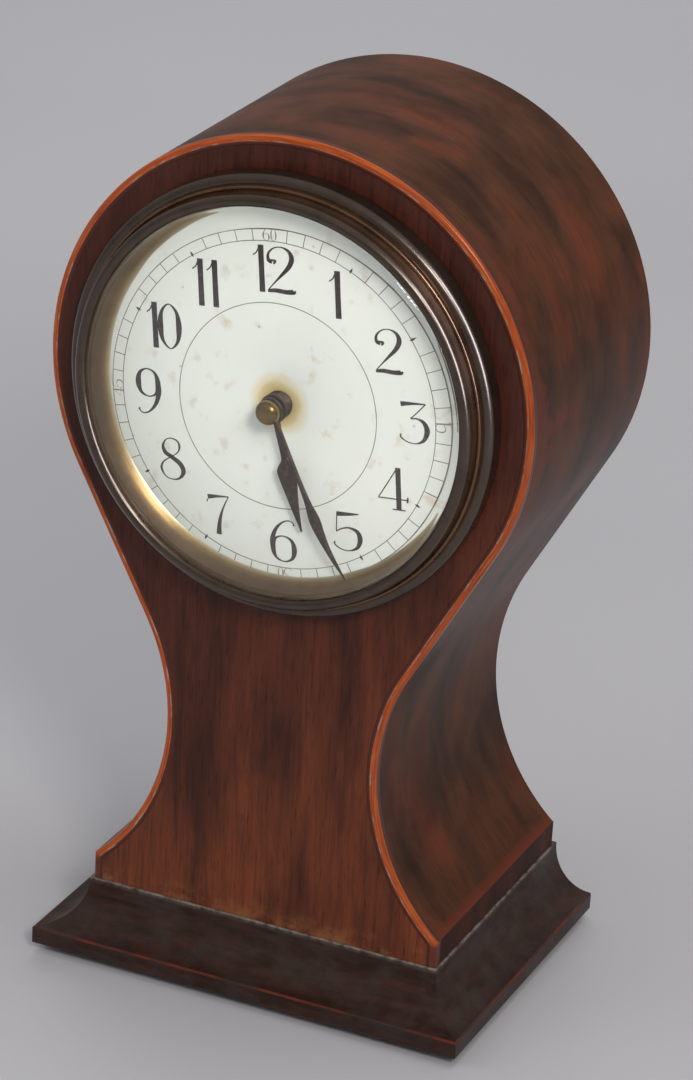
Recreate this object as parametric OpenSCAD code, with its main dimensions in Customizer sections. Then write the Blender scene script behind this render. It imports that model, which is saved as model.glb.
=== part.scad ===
// Balloon mantel timepiece: an inlaid case on a moulded plinth, with a drum movement
// that is wound and set from the back. +X is right and -Y is the front.

/* [Case] */
// Radius of the round head
head_r = 64.5; // [60:0.5:68]
// Height of the head's centre above the bottom of the case
head_rise = 145.3; // [140:0.1:155]
// Width of the case at its waist
waist_w = 58.4; // [52:0.2:66]
// Height of the waist above the bottom of the case
waist_rise = 49.8; // [46:0.1:54]
// Radius of the hollow curve at the waist
waist_r = 57; // [54:0.5:60]
// Width of the case at its foot
foot_w = 97; // [90:0.5:102]
// Depth of the case from front to back
case_d = 77; // [74:0.5:86]
// Thickness of the front board
front_t = 7; // [5:0.5:9]
// Thickness of the carcass wall
wall_t = 7; // [6:0.5:9]
// Thickness of the veneer on the sides
veneer_t = 0.8; // [0.6:0.1:1.2]
// Width of the stringing on the front
string_w = 2.5; // [1.5:0.1:3.5]
// Depth of the stringing on the side
string_d = 2.5; // [1.5:0.1:3.5]
// Thickness of the back board
back_t = 5; // [4:0.5:7]
// Width of the rebate that holds the back board
rebate_w = 3.5; // [3:0.1:4]
// Thickness of the bottom board
bottom_t = 6; // [4:0.5:9]

/* [Plinth] */
// Projection of the plinth beyond the front and sides of the case
plinth_out = 11.5; // [8:0.1:14]
// Projection of the plinth behind the case
plinth_back_out = 2; // [1:0.1:4]
// Height of the plinth
plinth_h = 17.2; // [14:0.2:22]
// Height of the upright band at the bottom of the moulding
band_h = 4.8; // [3:0.1:6]
// Step between the band and the hollow
band_step = 0.6; // [0.4:0.1:1.4]
// Upright edge at the top of the hollow
top_edge_h = 0.5; // [0.3:0.1:2]
// Ledge of the moulding round the foot of the case
ledge_w = 0.6; // [0.3:0.1:1.2]
// Distance of the plinth core inside the faces of the case
core_in = 3; // [2:0.2:5]
// Radius of a button foot
button_r = 5; // [4:0.1:6]
// Height of a button foot
button_h = 2.5; // [2:0.1:4]
// Distance of the feet from the edges of the plinth
button_in = 11; // [8:0.5:14]

/* [Wood screws] */
// Shank radius of the plinth screws
plinth_screw_r = 2; // [1.5:0.1:2.5]
// Head radius of the plinth screws
plinth_head_r = 4; // [3.2:0.1:4.6]
// Distance between the plinth screws across the width
plinth_screw_dx = 60; // [50:1:64]
// Distance between the plinth screws from front to back
plinth_screw_dy = 40; // [30:1:46]
// Shank radius of the back board screws
back_screw_r = 1.1; // [0.9:0.1:1.3]
// Head radius of the back board screws
back_head_r = 2.4; // [2:0.1:3]
// Length of the back board screws
back_screw_l = 14; // [10:0.5:18]

/* [Drum and dial] */
// Distance of the movement and its dial below the middle of the drum
movement_drop = 1.5; // [1:0.1:1.8]
// Outer radius of the drum
drum_r = 42.6; // [42.4:0.1:43.2]
// Wall of the drum
drum_wall = 1; // [0.8:0.1:1.1]
// Thickness of the drum's front flange
flange_t = 1; // [0.8:0.1:1.4]
// Depth of the ledge that the movement screws to, along the axis
seat_t = 2; // [1.5:0.1:2.6]
// Width of that ledge
seat_w = 7.6; // [7.4:0.1:8]
// Rim of the dial plate outside the enamel
dial_rim = 1; // [0.6:0.1:1.4]
// Thickness of the dial plate
dial_plate_t = 0.8; // [0.6:0.1:1]
// Lap of the sight ring over the edge of the enamel
dial_lap = 2.2; // [1.8:0.1:2.4]
// Thickness of the enamel dial
dial_t = 1.2; // [1:0.1:1.5]
// Radius of the hole in the dial
dial_hole_r = 4; // [3.6:0.1:5]
// Lap of the rear ring on the back board
ring_lap = 3.4; // [2.4:0.1:5]
// Thickness of the rear ring's flange
rear_ring_t = 1.6; // [1.2:0.1:2.2]
// Gap between the door and the heads of the clamp screws
door_room = 2; // [1.6:0.1:3]
// Gap between the drum and the rear ring's spigot
spigot_room = 4.8; // [4.6:0.1:5.4]
// Wall of the rear ring's spigot
spigot_wall = 1.2; // [1:0.1:1.6]
// Length of the rear ring's spigot
spigot_l = 4; // [3:0.1:4.8]
// Distance of the clamp screws outside the drum
clamp_out = 2.8; // [2.6:0.1:3]
// Shank radius of the clamp screws
clamp_r = 1.4; // [1.2:0.1:1.6]
// Head radius of the clamp screws
clamp_head_r = 2.4; // [2.2:0.1:2.8]

/* [Bezel] */
// Width of the bezel outside its opening
bezel_band = 6.8; // [6.4:0.1:8]
// Height of the bezel's outer wall over the front board
bezel_wall_h = 4.2; // [3.6:0.1:4.6]
// Thickness of the bezel's skirt round the drum's flange
skirt_t = 2.8; // [2.4:0.1:3.2]
// Radius of the bezel's outer bead
outer_bead_r = 1.8; // [1.4:0.1:2]
// Radius of the bezel's inner bead
inner_bead_r = 1.5; // [1.3:0.1:1.6]
// Radius of the opening inside the inner bead
lip_r = 49.6; // [49:0.1:50]
// Height of the glass's edge above the dial
lip_rise = 6.3; // [6.1:0.1:7]
// Lap of the inner bead over the glass
glass_lap = 2; // [1.6:0.1:2.1]
// Thickness of the glass at its edge
glass_edge_t = 1.2; // [0.8:0.1:1.3]
// Thickness of the glass inside its bevel
glass_t = 2.4; // [2:0.1:3]
// Rise of the domed glass at its middle
glass_dome = 4.8; // [4.4:0.1:6]
// Width of the bevel on the glass
glass_bevel = 6; // [4:0.5:9]
// Distance of the sight ring's foot inside the bezel's opening
sight_in = 3.8; // [3.4:0.1:4.2]

/* [Back door] */
// Overlap of the door on the rear ring
door_lap = 2.5; // [1.5:0.1:3]
// Thickness of the door
door_t = 1.2; // [1:0.1:1.6]
// Radius of the door's knob
knob_r = 3.2; // [2:0.1:3.6]

/* [Hinge] */
// Radius of the hinge's knuckles
knuckle_r = 1; // [0.9:0.05:1.2]
// Radius of the hinge's pin
hinge_pin_r = 0.5; // [0.4:0.05:0.6]
// Length of the moving knuckle
knuckle_l = 5; // [4:0.1:6]
// Length of each fixed knuckle
fixed_knuckle_l = 3.4; // [3:0.1:4]

/* [Movement frame] */
// Least gap between the front plate and the drum
plate_room = 0.7; // [0.6:0.1:1]
// Distance of the back plate's edge inside the front plate's
back_plate_in = 3.4; // [1.6:0.1:4]
// Thickness of a plate
plate_t = 2; // [1.6:0.1:2.4]
// Distance of the front plate's face behind the case front
plate_in = 5.5; // [5:0.1:6]
// Length of the pillars between the plates
pillar_l = 22; // [22:0.1:25]
// Radius of a pillar
pillar_r = 2.4; // [2:0.1:2.8]
// Distance of the pillars inside the front plate's edge
pillar_in = 8.8; // [8.6:0.1:9]
// Shank radius of the plate screws
plate_screw_r = 1.2; // [1:0.1:1.4]
// Head radius of the plate screws
plate_head_r = 2.2; // [2:0.1:2.4]
// Length of the platform from side to side
platform_l = 39.5; // [39.5:0.1:41]
// Height of the platform
platform_w = 18; // [17.5:0.1:19]
// Thickness of the platform
platform_t = 2; // [1.6:0.1:2.4]
// Distance of the platform's end beyond the balance
platform_end = 9.3; // [9:0.1:9.6]

/* [Wheel train] */
// Module of the great wheel and its pinion
great_m = 0.42; // [0.41:0.002:0.43]
// Module of the intermediate wheel and the centre pinion
inter_m = 0.36; // [0.355:0.001:0.365]
// Module of the centre wheel and the third pinion
centre_m = 0.32; // [0.315:0.001:0.325]
// Module of the third wheel and the fourth pinion
third_m = 0.28; // [0.275:0.001:0.285]
// Module of the fourth wheel and the escape pinion
fourth_m = 0.26; // [0.255:0.001:0.265]
// Distance of the barrel below the centre arbor
barrel_drop = 20; // [19.8:0.1:20.4]
// Thickness of the great wheel
great_t = 1.6; // [1.2:0.1:1.8]
// Thickness of the other wheels
wheel_t = 1.1; // [0.8:0.1:1.3]
// Radius of the barrel's wall
barrel_r = 16.2; // [15:0.1:16.4]
// Thickness of the barrel's wall
barrel_wall = 1; // [0.8:0.1:1.4]
// Height of the barrel over the great wheel
barrel_h = 12.4; // [11:0.1:12.6]
// Radius of the barrel arbor
barrel_arbor_r = 2.5; // [2.3:0.1:2.8]
// Width across the flats of the winding square
square_w = 3; // [2.6:0.1:3.1]
// Reach of the winding square behind the back plate
square_l = 34; // [28:0.5:38]
// Radius of the ratchet wheel
ratchet_r = 7; // [6.6:0.1:7.2]
// Thickness of the ratchet wheel and its click
ratchet_t = 1.8; // [1.4:0.1:2]
// Thickness of the mainspring
mainspring_t = 0.4; // [0.3:0.05:0.5]
// Radius of the thin pivots
pivot_r = 0.6; // [0.5:0.05:0.7]
// Radius of the thin arbors
arbor_r = 0.8; // [0.75:0.05:0.85]
// Radius of the centre arbor
centre_arbor_r = 1.25; // [1.2:0.05:1.3]
// Radius of the knob that sets the hands
set_knob_r = 6; // [5:0.1:8]
// Length of the knob that sets the hands
set_knob_l = 5; // [4:0.1:7]
// Distance of that knob behind the back plate
set_knob_reach = 28; // [24:0.5:30]

/* [Escapement] */
// Radius of the escape wheel
escape_r = 5.2; // [4.8:0.1:5.3]
// Distance from the escape wheel to the lever's pivot
escape_to_lever = 6.2; // [6.1:0.05:6.4]
// Distance from the lever's pivot to the balance
lever_to_balance = 7.5; // [7.2:0.1:7.8]
// Radius of the balance
balance_r = 8; // [7:0.1:8.2]
// Width of the balance's rim
balance_rim = 1; // [0.8:0.1:1.2]
// Distance of the balance behind the escape bridge
balance_rise = 4.4; // [4.2:0.1:4.6]
// Thickness of the hairspring
hairspring_t = 0.12; // [0.1:0.01:0.16]
// Length of the regulator's pointer
regulator_l = 8; // [6:0.5:10]

/* [Motion work and hands] */
// Module of the cannon pinion and the minute wheel
cannon_m = 0.375; // [0.37:0.001:0.38]
// Module of the minute pinion and the hour wheel
hour_m = 0.36; // [0.355:0.001:0.362]
// Outer radius of the cannon's pipe
cannon_r = 2; // [1.9:0.05:2.1]
// Wall of the hour wheel's pipe
hour_pipe_wall = 0.8; // [0.6:0.05:1]
// Length of the hour hand
hour_hand_l = 32.5; // [28:0.5:36]
// Distance of the minute hand's tip inside the sight ring
minute_short = 0.5; // [0.4:0.1:5]
// Distance of the hour hand in front of the dial
hour_rise = 2.9; // [2.4:0.1:3]
// Gap between the hands
hand_space = 1; // [0.8:0.1:1.1]
// Width of the hour hand's leaf
hour_leaf_w = 5.4; // [4:0.1:7]
// Width of the minute hand's swelling
minute_leaf_w = 3.2; // [2:0.1:4]
// Thickness of the hands
hand_t = 0.6; // [0.4:0.1:0.7]
// Direction of the hour hand, clockwise from twelve
hour_at = 165; // [0:0.5:360]
// Direction of the minute hand, clockwise from twelve
minute_at = 153.5; // [0:0.5:360]
// Radius of the nut that holds the hands
nut_r = 3.1; // [2.4:0.1:3.4]
// Height of that nut
nut_h = 3.6; // [2.6:0.1:4]

/* [Clearances] */
// Gap round glued and screwed wooden pieces
wood_gap = 0.05; // [0.02:0.01:0.1]
// Gap between the drum and the front board
drum_fit = 0.3; // [0.2:0.05:0.5]
// Gap round a screw in its hole
screw_gap = 0.1; // [0.05:0.01:0.2]
// Running gap round a pivot or a pipe
pivot_gap = 0.05; // [0.03:0.01:0.08]
// Gap round a piece pressed on its arbor
press_gap = 0.02; // [0.01:0.01:0.04]
// Gap between a moving piece and the face it closes on
face_gap = 0.3; // [0.2:0.05:0.4]

/* [Hidden] */
$fn = 72;

// Levels: z is up from the table, w is forward from the middle of the case
base_z = button_h + plinth_h;
head_z = base_z + head_rise;
axis_z = head_z - movement_drop;
drum_at = [0, movement_drop];
waist_z = base_z + waist_rise;
front_w = case_d / 2;
back_w = -case_d / 2;
dial_w = front_w + flange_t + dial_plate_t + dial_t;
lip_w = dial_w + lip_rise;
glass_w = lip_w - glass_edge_t;
front_plate_w = front_w - plate_in;
pillar_w1 = front_plate_w - plate_t;
pillar_w0 = pillar_w1 - pillar_l;
back_plate_w = pillar_w0 - plate_t;
platform_w0 = back_plate_w - platform_t;
ring_back_w = back_w - rear_ring_t;

// Radii that follow from the bezel's opening and from the drum
bezel_r = lip_r + bezel_band;
sight_r = lip_r - sight_in;
dial_r = sight_r + dial_lap;
dial_plate_r = dial_r + dial_rim;
minute_hand_l = sight_r - minute_short;
front_plate_r = drum_r - drum_wall - movement_drop - plate_room;
back_plate_r = front_plate_r - back_plate_in;
pillar_at = front_plate_r - pillar_in;
clamp_at = drum_r + clamp_out;
spigot_r = drum_r + spigot_room + spigot_wall;
rear_ring_r = spigot_r + ring_lap;
door_hole_r = clamp_at - clamp_head_r - door_room - door_lap;

// Outline of the case: head arc, straight tangent, hollow arc, upright fillet
waist_x = waist_w / 2 + waist_r;
tangent_gap = norm([waist_x, head_z - waist_z]);
tangent_at = atan2(waist_z - head_z, waist_x) + acos(min(1, (head_r + waist_r) / tangent_gap));
arc_step = 3;
cut = 1;

function arc(centre, r, a0, a1) =
    let (n = ceil(abs(a1 - a0) / arc_step))
    [for (i = [0:n]) centre + r * [cos(a0 + (a1 - a0) * i / n), sin(a0 + (a1 - a0) * i / n)]];

function flare_at(inset) = 180 + acos((waist_x - foot_w / 2 + inset) / (waist_r + inset));

function half_outline(inset, drop) = concat(
    arc([0, head_z], head_r - inset, 90, tangent_at),
    arc([waist_x, waist_z], waist_r + inset, 180 + tangent_at, flare_at(inset)),
    [[foot_w / 2 - inset, base_z - drop]]
);

function outline(inset, drop) =
    let (right = half_outline(inset, drop), n = len(right))
    concat(right, [for (i = [n - 1:-1:1]) [-right[i].x, right[i].y]]);

fillet_z = waist_z + waist_r * sin(flare_at(0));
inner_inset = veneer_t + wall_t;
rebate_inset = inner_inset - rebate_w;

// A slab of the case outline between two levels
module slab(inset, w0, w1, drop = 0)
    translate([0, -w0, 0])
        rotate([90, 0, 0])
            linear_extrude(w1 - w0)
                polygon(outline(inset, drop));

// Puts children on an axis parallel to the movement's: x right, y up, z forward
module axial(w = 0, at = [0, 0])
    translate([at.x, 0, axis_z + at.y])
        rotate([90, 0, 0])
            translate([0, 0, w])
                children();

module rod(r, w0, w1, at = [0, 0])
    axial(w0, at)
        cylinder(r = r, h = w1 - w0);

// A ring turned round the movement's axis from a profile of [radius, level] points
module turned(profile, at = [0, 0])
    axial(0, at)
        rotate_extrude()
            polygon(profile);

// Teeth: four corners each, with the flanks at 20 degrees
flank = tan(20);
wheel_tooth = [1.1, 0.7, 1.25];
pinion_tooth = [0.8, 0.8, 1.25];

function tooth_corner(n, m, tooth, rise, side) =
    let (r = m * n / 2 + rise * m, half = (tooth[0] / 2 - rise * flank) * m)
    [r, side * asin(half / r)];

function gear_points(n, m, tooth, phase) = [
    for (i = [0:n - 1], c = [[-tooth[2], -1], [tooth[1], -1], [tooth[1], 1], [-tooth[2], 1]])
        let (p = tooth_corner(n, m, tooth, c[0], c[1]), a = phase + i * 360 / n + p[1])
        p[0] * [cos(a), sin(a)]
];

// Phase of a driven gear whose driver has a tooth at phase and lies opposite to angle
function mesh_phase(angle, phase, driver, driven) =
    angle + 180 + (angle - phase) * driver / driven + 180 / driven;

function bearing(a, b) = atan2(b.y - a.y, b.x - a.x);

hole_sides = 12;
function hole_r(r) = (r + press_gap) / cos(180 / hole_sides);

// A flat wheel with teeth, crossings and a hole for its arbor
module wheel(n, m, t, w, at, phase, bore, arms) {
    hub = bore + 1.6;
    rim = m * n / 2 - 3.4 * m;
    spread = 360 / arms;
    axial(w, at)
        linear_extrude(t)
            difference() {
                polygon(gear_points(n, m, wheel_tooth, phase));
                circle(r = hole_r(bore), $fn = hole_sides);
                for (k = [0:arms - 1])
                    polygon(concat(
                        [for (a = [0.22, 0.78]) hub * [cos((k + a) * spread), sin((k + a) * spread)]],
                        [for (a = [0.9, 0.63, 0.37, 0.1])
                            rim * [cos((k + a) * spread), sin((k + a) * spread)]]
                    ));
            }
}

module pinion(n, m, w0, w1, at, phase)
    axial(w0, at)
        linear_extrude(w1 - w0)
            polygon(gear_points(n, m, pinion_tooth, phase));

// Tooth counts
great_n = 84;
inter_n = 72;
centre_n = 80;
third_n = 75;
fourth_n = 80;
escape_n = 15;
inter_leaves = 12;
centre_leaves = 12;
third_leaves = 10;
fourth_leaves = 10;
escape_leaves = 8;
cannon_leaves = 12;
minute_n = 36;
minute_leaves = 10;
hour_n = 40;
ratchet_n = 24;

// Places of the arbors, [right, up] from the centre arbor
function gear_gap(m, a, b) = m * (a + b) / 2;
function polar(r, a) = r * [cos(a), sin(a)];
origin = [0, 0];
barrel_at = [0, -barrel_drop];
great_gap = gear_gap(great_m, great_n, inter_leaves);
inter_gap = gear_gap(inter_m, inter_n, centre_leaves);
inter_y = (great_gap * great_gap - inter_gap * inter_gap - barrel_drop * barrel_drop) / (2 * barrel_drop);
inter_at = [sqrt(inter_gap * inter_gap - inter_y * inter_y), inter_y];
third_at = polar(gear_gap(centre_m, centre_n, third_leaves), 120);
fourth_at = third_at + polar(gear_gap(third_m, third_n, fourth_leaves), 15);
escape_at = fourth_at + polar(gear_gap(fourth_m, fourth_n, escape_leaves), 47.66);
lever_at = escape_at - [escape_to_lever, 0];
balance_at = lever_at - [lever_to_balance, 0];
motion_gap = gear_gap(cannon_m, cannon_leaves, minute_n);
minute_arbor_at = polar(motion_gap, -60);

// Levels of the train, back to front
shake = 0.3;
great_w = pillar_w0 + 1;
barrel_w1 = great_w + great_t + barrel_h;
cover_t = 1;
inter_w = pillar_w1 - 5;
centre_w = pillar_w1 - 2.4;
third_w = pillar_w0 + 9;
fourth_w = pillar_w0 + 4;
leaf_over = 0.8;
escape_w = platform_w0 - 2.2;
escape_t = 0.8;
bridge_w1 = escape_w - 2;
bridge_t = 1.2;
balance_w = bridge_w1 - bridge_t - balance_rise;
balance_t = 1.2;
hairspring_w = balance_w - 2;
hairspring_h = 0.8;
cock_w1 = hairspring_w - 1;
cock_t = 1.6;
regulator_w1 = cock_w1 - cock_t - 0.2;
regulator_t = 1;
ratchet_w1 = back_plate_w - 0.5;
cannon_w = front_plate_w + 1;
cannon_t = 1.6;
minute_wheel_w = cannon_w + 0.2;
hour_wheel_w = cannon_w + cannon_t + 1;
minute_pinion_w1 = hour_wheel_w + wheel_t + 0.4;
hour_hand_w = dial_w + hour_rise;
minute_hand_w = hour_hand_w + hand_t + hand_space;
knob_w1 = back_plate_w - set_knob_reach;

// Radii of the pipes round the centre arbor
stem_r = centre_arbor_r - 0.25;
cannon_bore = stem_r + press_gap;
hour_bore = cannon_r + pivot_gap;
hour_pipe_r = hour_bore + hour_pipe_wall;

// Hinge of the back door: its axis is upright, just outside the door
hinge_gap = 0.3;
door_r = door_hole_r + door_lap;
door_w1 = ring_back_w - 0.2;
door_w0 = door_w1 - door_t;
door_hinge_x = door_r + knuckle_r + hinge_gap;
door_hinge_w = ring_back_w - knuckle_r - 0.2;
knuckle_gap = 0.1;

// An upright cylinder centred on the height of the drum's axis
module upright(r, l, x, w, up = 0)
    translate([x, -w, head_z + up - l / 2])
        cylinder(r = r, h = l);

// A box between two corners given as [right, forward, up from the movement's axis]
module block(a, b)
    translate([a.x, -b.y, axis_z + a.z])
        cube([b.x - a.x, b.y - a.y, b.z - a.z]);

// Case

wood = "#6e3420";
dark_wood = "#2b1a14";
brass = "#b08d4a";
old_brass = "#4a3d30";
steel = "#8f9398";
blued = "#3a332e";

module front_board() {
    ear_room = clamp_head_r + screw_gap + drum_fit;
    color(wood) difference() {
        union() {
            slab(string_w, front_w - string_d, front_w);
            slab(veneer_t, front_w - front_t, front_w - string_d);
        }
        rod(drum_r + drum_fit, front_w - front_t - cut, front_w + cut, drum_at);
        block([-ear_room, front_w - front_t - cut, movement_drop - clamp_at - ear_room],
              [ear_room, front_w + cut, movement_drop + clamp_at + ear_room]);
    }
}

module carcass() {
    inside_w = front_w - front_t;
    color("#5a3a26") difference() {
        union() {
            slab(veneer_t, back_w, inside_w);
            for (side = [-1, 1])
                translate([side * (foot_w - veneer_t) / 2 - veneer_t / 2, -(front_w - string_d), base_z])
                    cube([veneer_t, case_d - string_d, fillet_z - base_z]);
        }
        slab(inner_inset, back_w - cut, inside_w + cut, cut);
        slab(rebate_inset, back_w - cut, back_w + back_t, cut);
        back_screw_holes();
    }
}

module rim_veneer() {
    color("#4f2a1b") difference() {
        slab(0, back_w, front_w - string_d);
        slab(veneer_t, back_w - cut, front_w, cut);
        translate([-foot_w, -case_d, 0])
            cube([2 * foot_w, 2 * case_d, fillet_z]);
    }
}

module edge_stringing() {
    color("#b5481c") difference() {
        slab(0, front_w - string_d, front_w);
        slab(string_w, front_w - string_d - cut, front_w + cut, cut);
    }
}

// Places of the back board screws, round the head and at the waist
back_screw_inset = rebate_inset + rebate_w / 2;
back_screw_ring = max(head_r - back_screw_inset, rear_ring_r + back_head_r + face_gap);
back_screw_at = concat(
    [for (a = [90, 25, 155]) drum_at + polar(back_screw_ring, a)],
    [for (side = [-1, 1]) [side * (waist_w / 2 - back_screw_inset), waist_z - axis_z]]
);

module back_screw_holes()
    for (p = back_screw_at)
        rod(back_screw_r + wood_gap, back_w - cut, back_w + back_screw_l + wood_gap, p);

module back_board() {
    color("#5f4029") difference() {
        slab(rebate_inset + wood_gap, back_w, back_w + back_t);
        rod(spigot_r + drum_fit, back_w - cut, back_w + back_t + cut, drum_at);
        back_screw_holes();
    }
}

module back_board_screws() {
    head_t = 1.2;
    color(brass)
        for (p = back_screw_at) {
            rod(back_screw_r, back_w, back_w + back_screw_l, p);
            rod(back_head_r, back_w - head_t, back_w, p);
        }
}

module bottom_board() {
    color("#7a5a3a") difference() {
        intersection() {
            slab(inner_inset + wood_gap, back_w + back_t, front_w - front_t);
            translate([-foot_w, -case_d, base_z])
                cube([2 * foot_w, 2 * case_d, bottom_t]);
        }
        plinth_screw_set(screw_gap);
    }
}

// Plinth

core_x = foot_w / 2 - core_in;
core_front = -(front_w - core_in);
core_back = case_d / 2 + plinth_back_out;
moulding_w = plinth_out + core_in;
hollow_n = 10;

// Section of the moulding: [out from the core, up from its bottom]
function moulding_section() =
    let (
        x1 = moulding_w - band_step,
        x0 = core_in + ledge_w,
        z1 = plinth_h - top_edge_h
    )
    concat(
        [[0, 0], [moulding_w, 0], [moulding_w, band_h]],
        [for (i = [0:hollow_n])
            [x1 - (x1 - x0) * sin(90 * i / hollow_n), z1 - (z1 - band_h) * cos(90 * i / hollow_n)]],
        [[x0, plinth_h], [0, plinth_h]]
    );

module plinth_core() {
    color(dark_wood) difference() {
        translate([-core_x, core_front, button_h])
            cube([2 * core_x, core_back - core_front, plinth_h]);
        plinth_screw_set(screw_gap);
    }
}

module plinth_front_moulding() {
    out_x = core_x + moulding_w;
    color(dark_wood) intersection() {
        translate([-out_x, core_front, button_h])
            rotate([90, 0, 90])
                linear_extrude(2 * out_x)
                    mirror([1, 0])
                        polygon(moulding_section());
        linear_extrude(base_z)
            polygon([
                [-core_x, core_front], [core_x, core_front],
                [out_x, core_front - moulding_w], [-out_x, core_front - moulding_w]
            ]);
    }
}

module right_moulding() {
    out_x = core_x + moulding_w;
    intersection() {
        translate([core_x, core_back, button_h])
            rotate([90, 0, 0])
                linear_extrude(core_back - core_front + moulding_w)
                    polygon(moulding_section());
        linear_extrude(base_z)
            polygon([
                [core_x, core_front], [core_x, core_back],
                [out_x, core_back], [out_x, core_front - moulding_w]
            ]);
    }
}

module plinth_right_moulding() {
    color(dark_wood) right_moulding();
}

module plinth_left_moulding() {
    color(dark_wood) mirror([1, 0, 0]) right_moulding();
}

module button_feet() {
    x = core_x + moulding_w - button_in;
    y0 = core_front - moulding_w + button_in;
    y1 = core_back - button_in;
    color("#241712")
        for (sx = [-x, x], sy = [y0, y1])
            translate([sx, sy, 0])
                rotate_extrude()
                    polygon([
                        [0, 0], [button_r - 1.2, 0], [button_r, button_h / 2],
                        [button_r - 0.4, button_h], [0, button_h]
                    ]);
}

// Countersunk screws up through the core, drawn larger by gap for their holes
module plinth_screw_set(gap) {
    head_h = plinth_head_r - plinth_screw_r;
    for (x = [-0.5, 0.5] * plinth_screw_dx, y = [-0.5, 0.5] * plinth_screw_dy)
        translate([x, y, button_h])
            rotate_extrude()
                polygon([
                    [0, -gap], [plinth_head_r + gap, -gap], [plinth_head_r + gap, 0],
                    [plinth_screw_r + gap, head_h], [plinth_screw_r + gap, plinth_h + bottom_t - 1 + gap],
                    [0, plinth_h + bottom_t - 1 + gap]
                ]);
}

module plinth_screws() {
    color(steel) plinth_screw_set(0);
}

// Drum and dial

inside_r = drum_r - drum_wall;
skirt_gap = 0.2;
flange_r = bezel_r - skirt_t - skirt_gap;
ear_w1 = 0;
ear_t = 5;
drum_back_w = back_w + 3;

module drum() {
    ear_h = clamp_at + clamp_head_r - drum_r + drum_wall / 2;
    color(brass) difference() {
        union() {
            turned([
                [inside_r, drum_back_w], [drum_r, drum_back_w], [drum_r, front_w], [flange_r, front_w],
                [flange_r, front_w + flange_t], [inside_r, front_w + flange_t],
                [inside_r, front_plate_w + seat_t], [inside_r - seat_w, front_plate_w + seat_t],
                [inside_r - seat_w, front_plate_w], [inside_r, front_plate_w]
            ], drum_at);
            for (side = [-1, 1])
                axial(ear_w1 - ear_t, drum_at + [0, side * (clamp_at + clamp_head_r - ear_h / 2)])
                    linear_extrude(ear_t)
                        square([2 * clamp_head_r, ear_h], center = true);
        }
        for (side = [-1, 1])
            rod(clamp_r + screw_gap, ear_w1 - ear_t - cut, ear_w1 + cut, drum_at + [0, side * clamp_at]);
        movement_screw_holes(front_plate_w - cut, front_plate_w + seat_t + cut);
    }
}

module dial_plate() {
    w0 = front_w + flange_t;
    color(brass) difference() {
        rod(dial_plate_r, w0, w0 + dial_plate_t);
        rod(dial_hole_r + 0.6, w0 - cut, dial_w);
    }
}

module dial() {
    color("#efe9da") difference() {
        rod(dial_r, dial_w - dial_t, dial_w);
        rod(dial_hole_r, dial_w - dial_t - cut, dial_w + cut);
    }
}

module rear_ring() {
    color(brass) difference() {
        union() {
            turned([
                [door_hole_r, ring_back_w], [rear_ring_r, ring_back_w], [rear_ring_r, back_w],
                [spigot_r, back_w], [spigot_r, back_w + spigot_l],
                [spigot_r - spigot_wall, back_w + spigot_l], [spigot_r - spigot_wall, back_w],
                [door_hole_r, back_w]
            ], drum_at);
            for (side = [-1, 1]) {
                up = side * (knuckle_l / 2 + knuckle_gap + fixed_knuckle_l / 2);
                upright(knuckle_r, fixed_knuckle_l, door_hinge_x, door_hinge_w, up);
                z = movement_drop + up - fixed_knuckle_l / 2;
                block([door_hinge_x - knuckle_r / 2, door_hinge_w, z],
                      [door_hinge_x + knuckle_r / 2, ring_back_w + cut / 2, z + fixed_knuckle_l]);
            }
        }
        upright(hinge_pin_r + press_gap, 2 * hinge_l, door_hinge_x, door_hinge_w);
        for (side = [-1, 1])
            rod(clamp_r + screw_gap, ring_back_w - cut, back_w + cut, drum_at + [0, side * clamp_at]);
    }
}

module clamp_screws() {
    head_t = 1.6;
    color(steel)
        for (side = [-1, 1]) {
            rod(clamp_r, ring_back_w, ear_w1 + 2, drum_at + [0, side * clamp_at]);
            rod(clamp_head_r, ring_back_w - head_t, ring_back_w, drum_at + [0, side * clamp_at]);
        }
}

// Bezel

seat_gap = 0.2;
glass_r = lip_r + glass_lap;
bezel_w0 = front_w + 0.1;
wall_w = front_w + bezel_wall_h;
bead_step = 15;

// Points on a bead of the section, from one angle to another
function bead(r, w, bead_r, a0, a1) =
    [for (a = [a0:bead_step:a1]) [r + bead_r * cos(a), w + bead_r * sin(a)]];

// Section of the bezel: outer wall and bead, a reeded hollow, inner bead, seat for the glass
module bezel() {
    seat = glass_r + seat_gap;
    outer = bezel_r - outer_bead_r;
    inner = lip_r + inner_bead_r;
    reed_r = lip_r + 2 * inner_bead_r;
    reed_w = wall_w + outer_bead_r;
    color(old_brass)
        turned(concat(
            [[flange_r + skirt_gap, bezel_w0], [bezel_r, bezel_w0]],
            bead(outer, wall_w, outer_bead_r, 0, 105),
            [[reed_r + 0.7, reed_w + 0.4], [reed_r + 0.8, reed_w + 1], [reed_r + 0.2, reed_w + 1.4],
             [reed_r, reed_w + 1.9]],
            bead(inner, lip_w + 0.2, inner_bead_r, 0, 180),
            [[lip_r, lip_w], [seat, lip_w], [seat, wall_w + 1], [flange_r + skirt_gap, wall_w - 0.8]]
        ), drum_at);
}

// Rise of the domed glass at a distance from its middle
function dome(r) = glass_dome * (1 - pow(r / lip_r, 2));

module bezel_glass() {
    steps = 12;
    top_r = lip_r - glass_bevel;
    color("#dfe8e6", 0.3)
        turned(concat(
            [for (i = [0:steps]) [lip_r * i / steps, glass_w + dome(lip_r * i / steps)]],
            [[glass_r, glass_w], [glass_r, glass_w + glass_edge_t], [lip_r, glass_w + glass_edge_t]],
            [for (i = [steps:-1:0]) [top_r * i / steps, glass_w + glass_t + dome(top_r * i / steps)]]
        ), drum_at);
}

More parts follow.
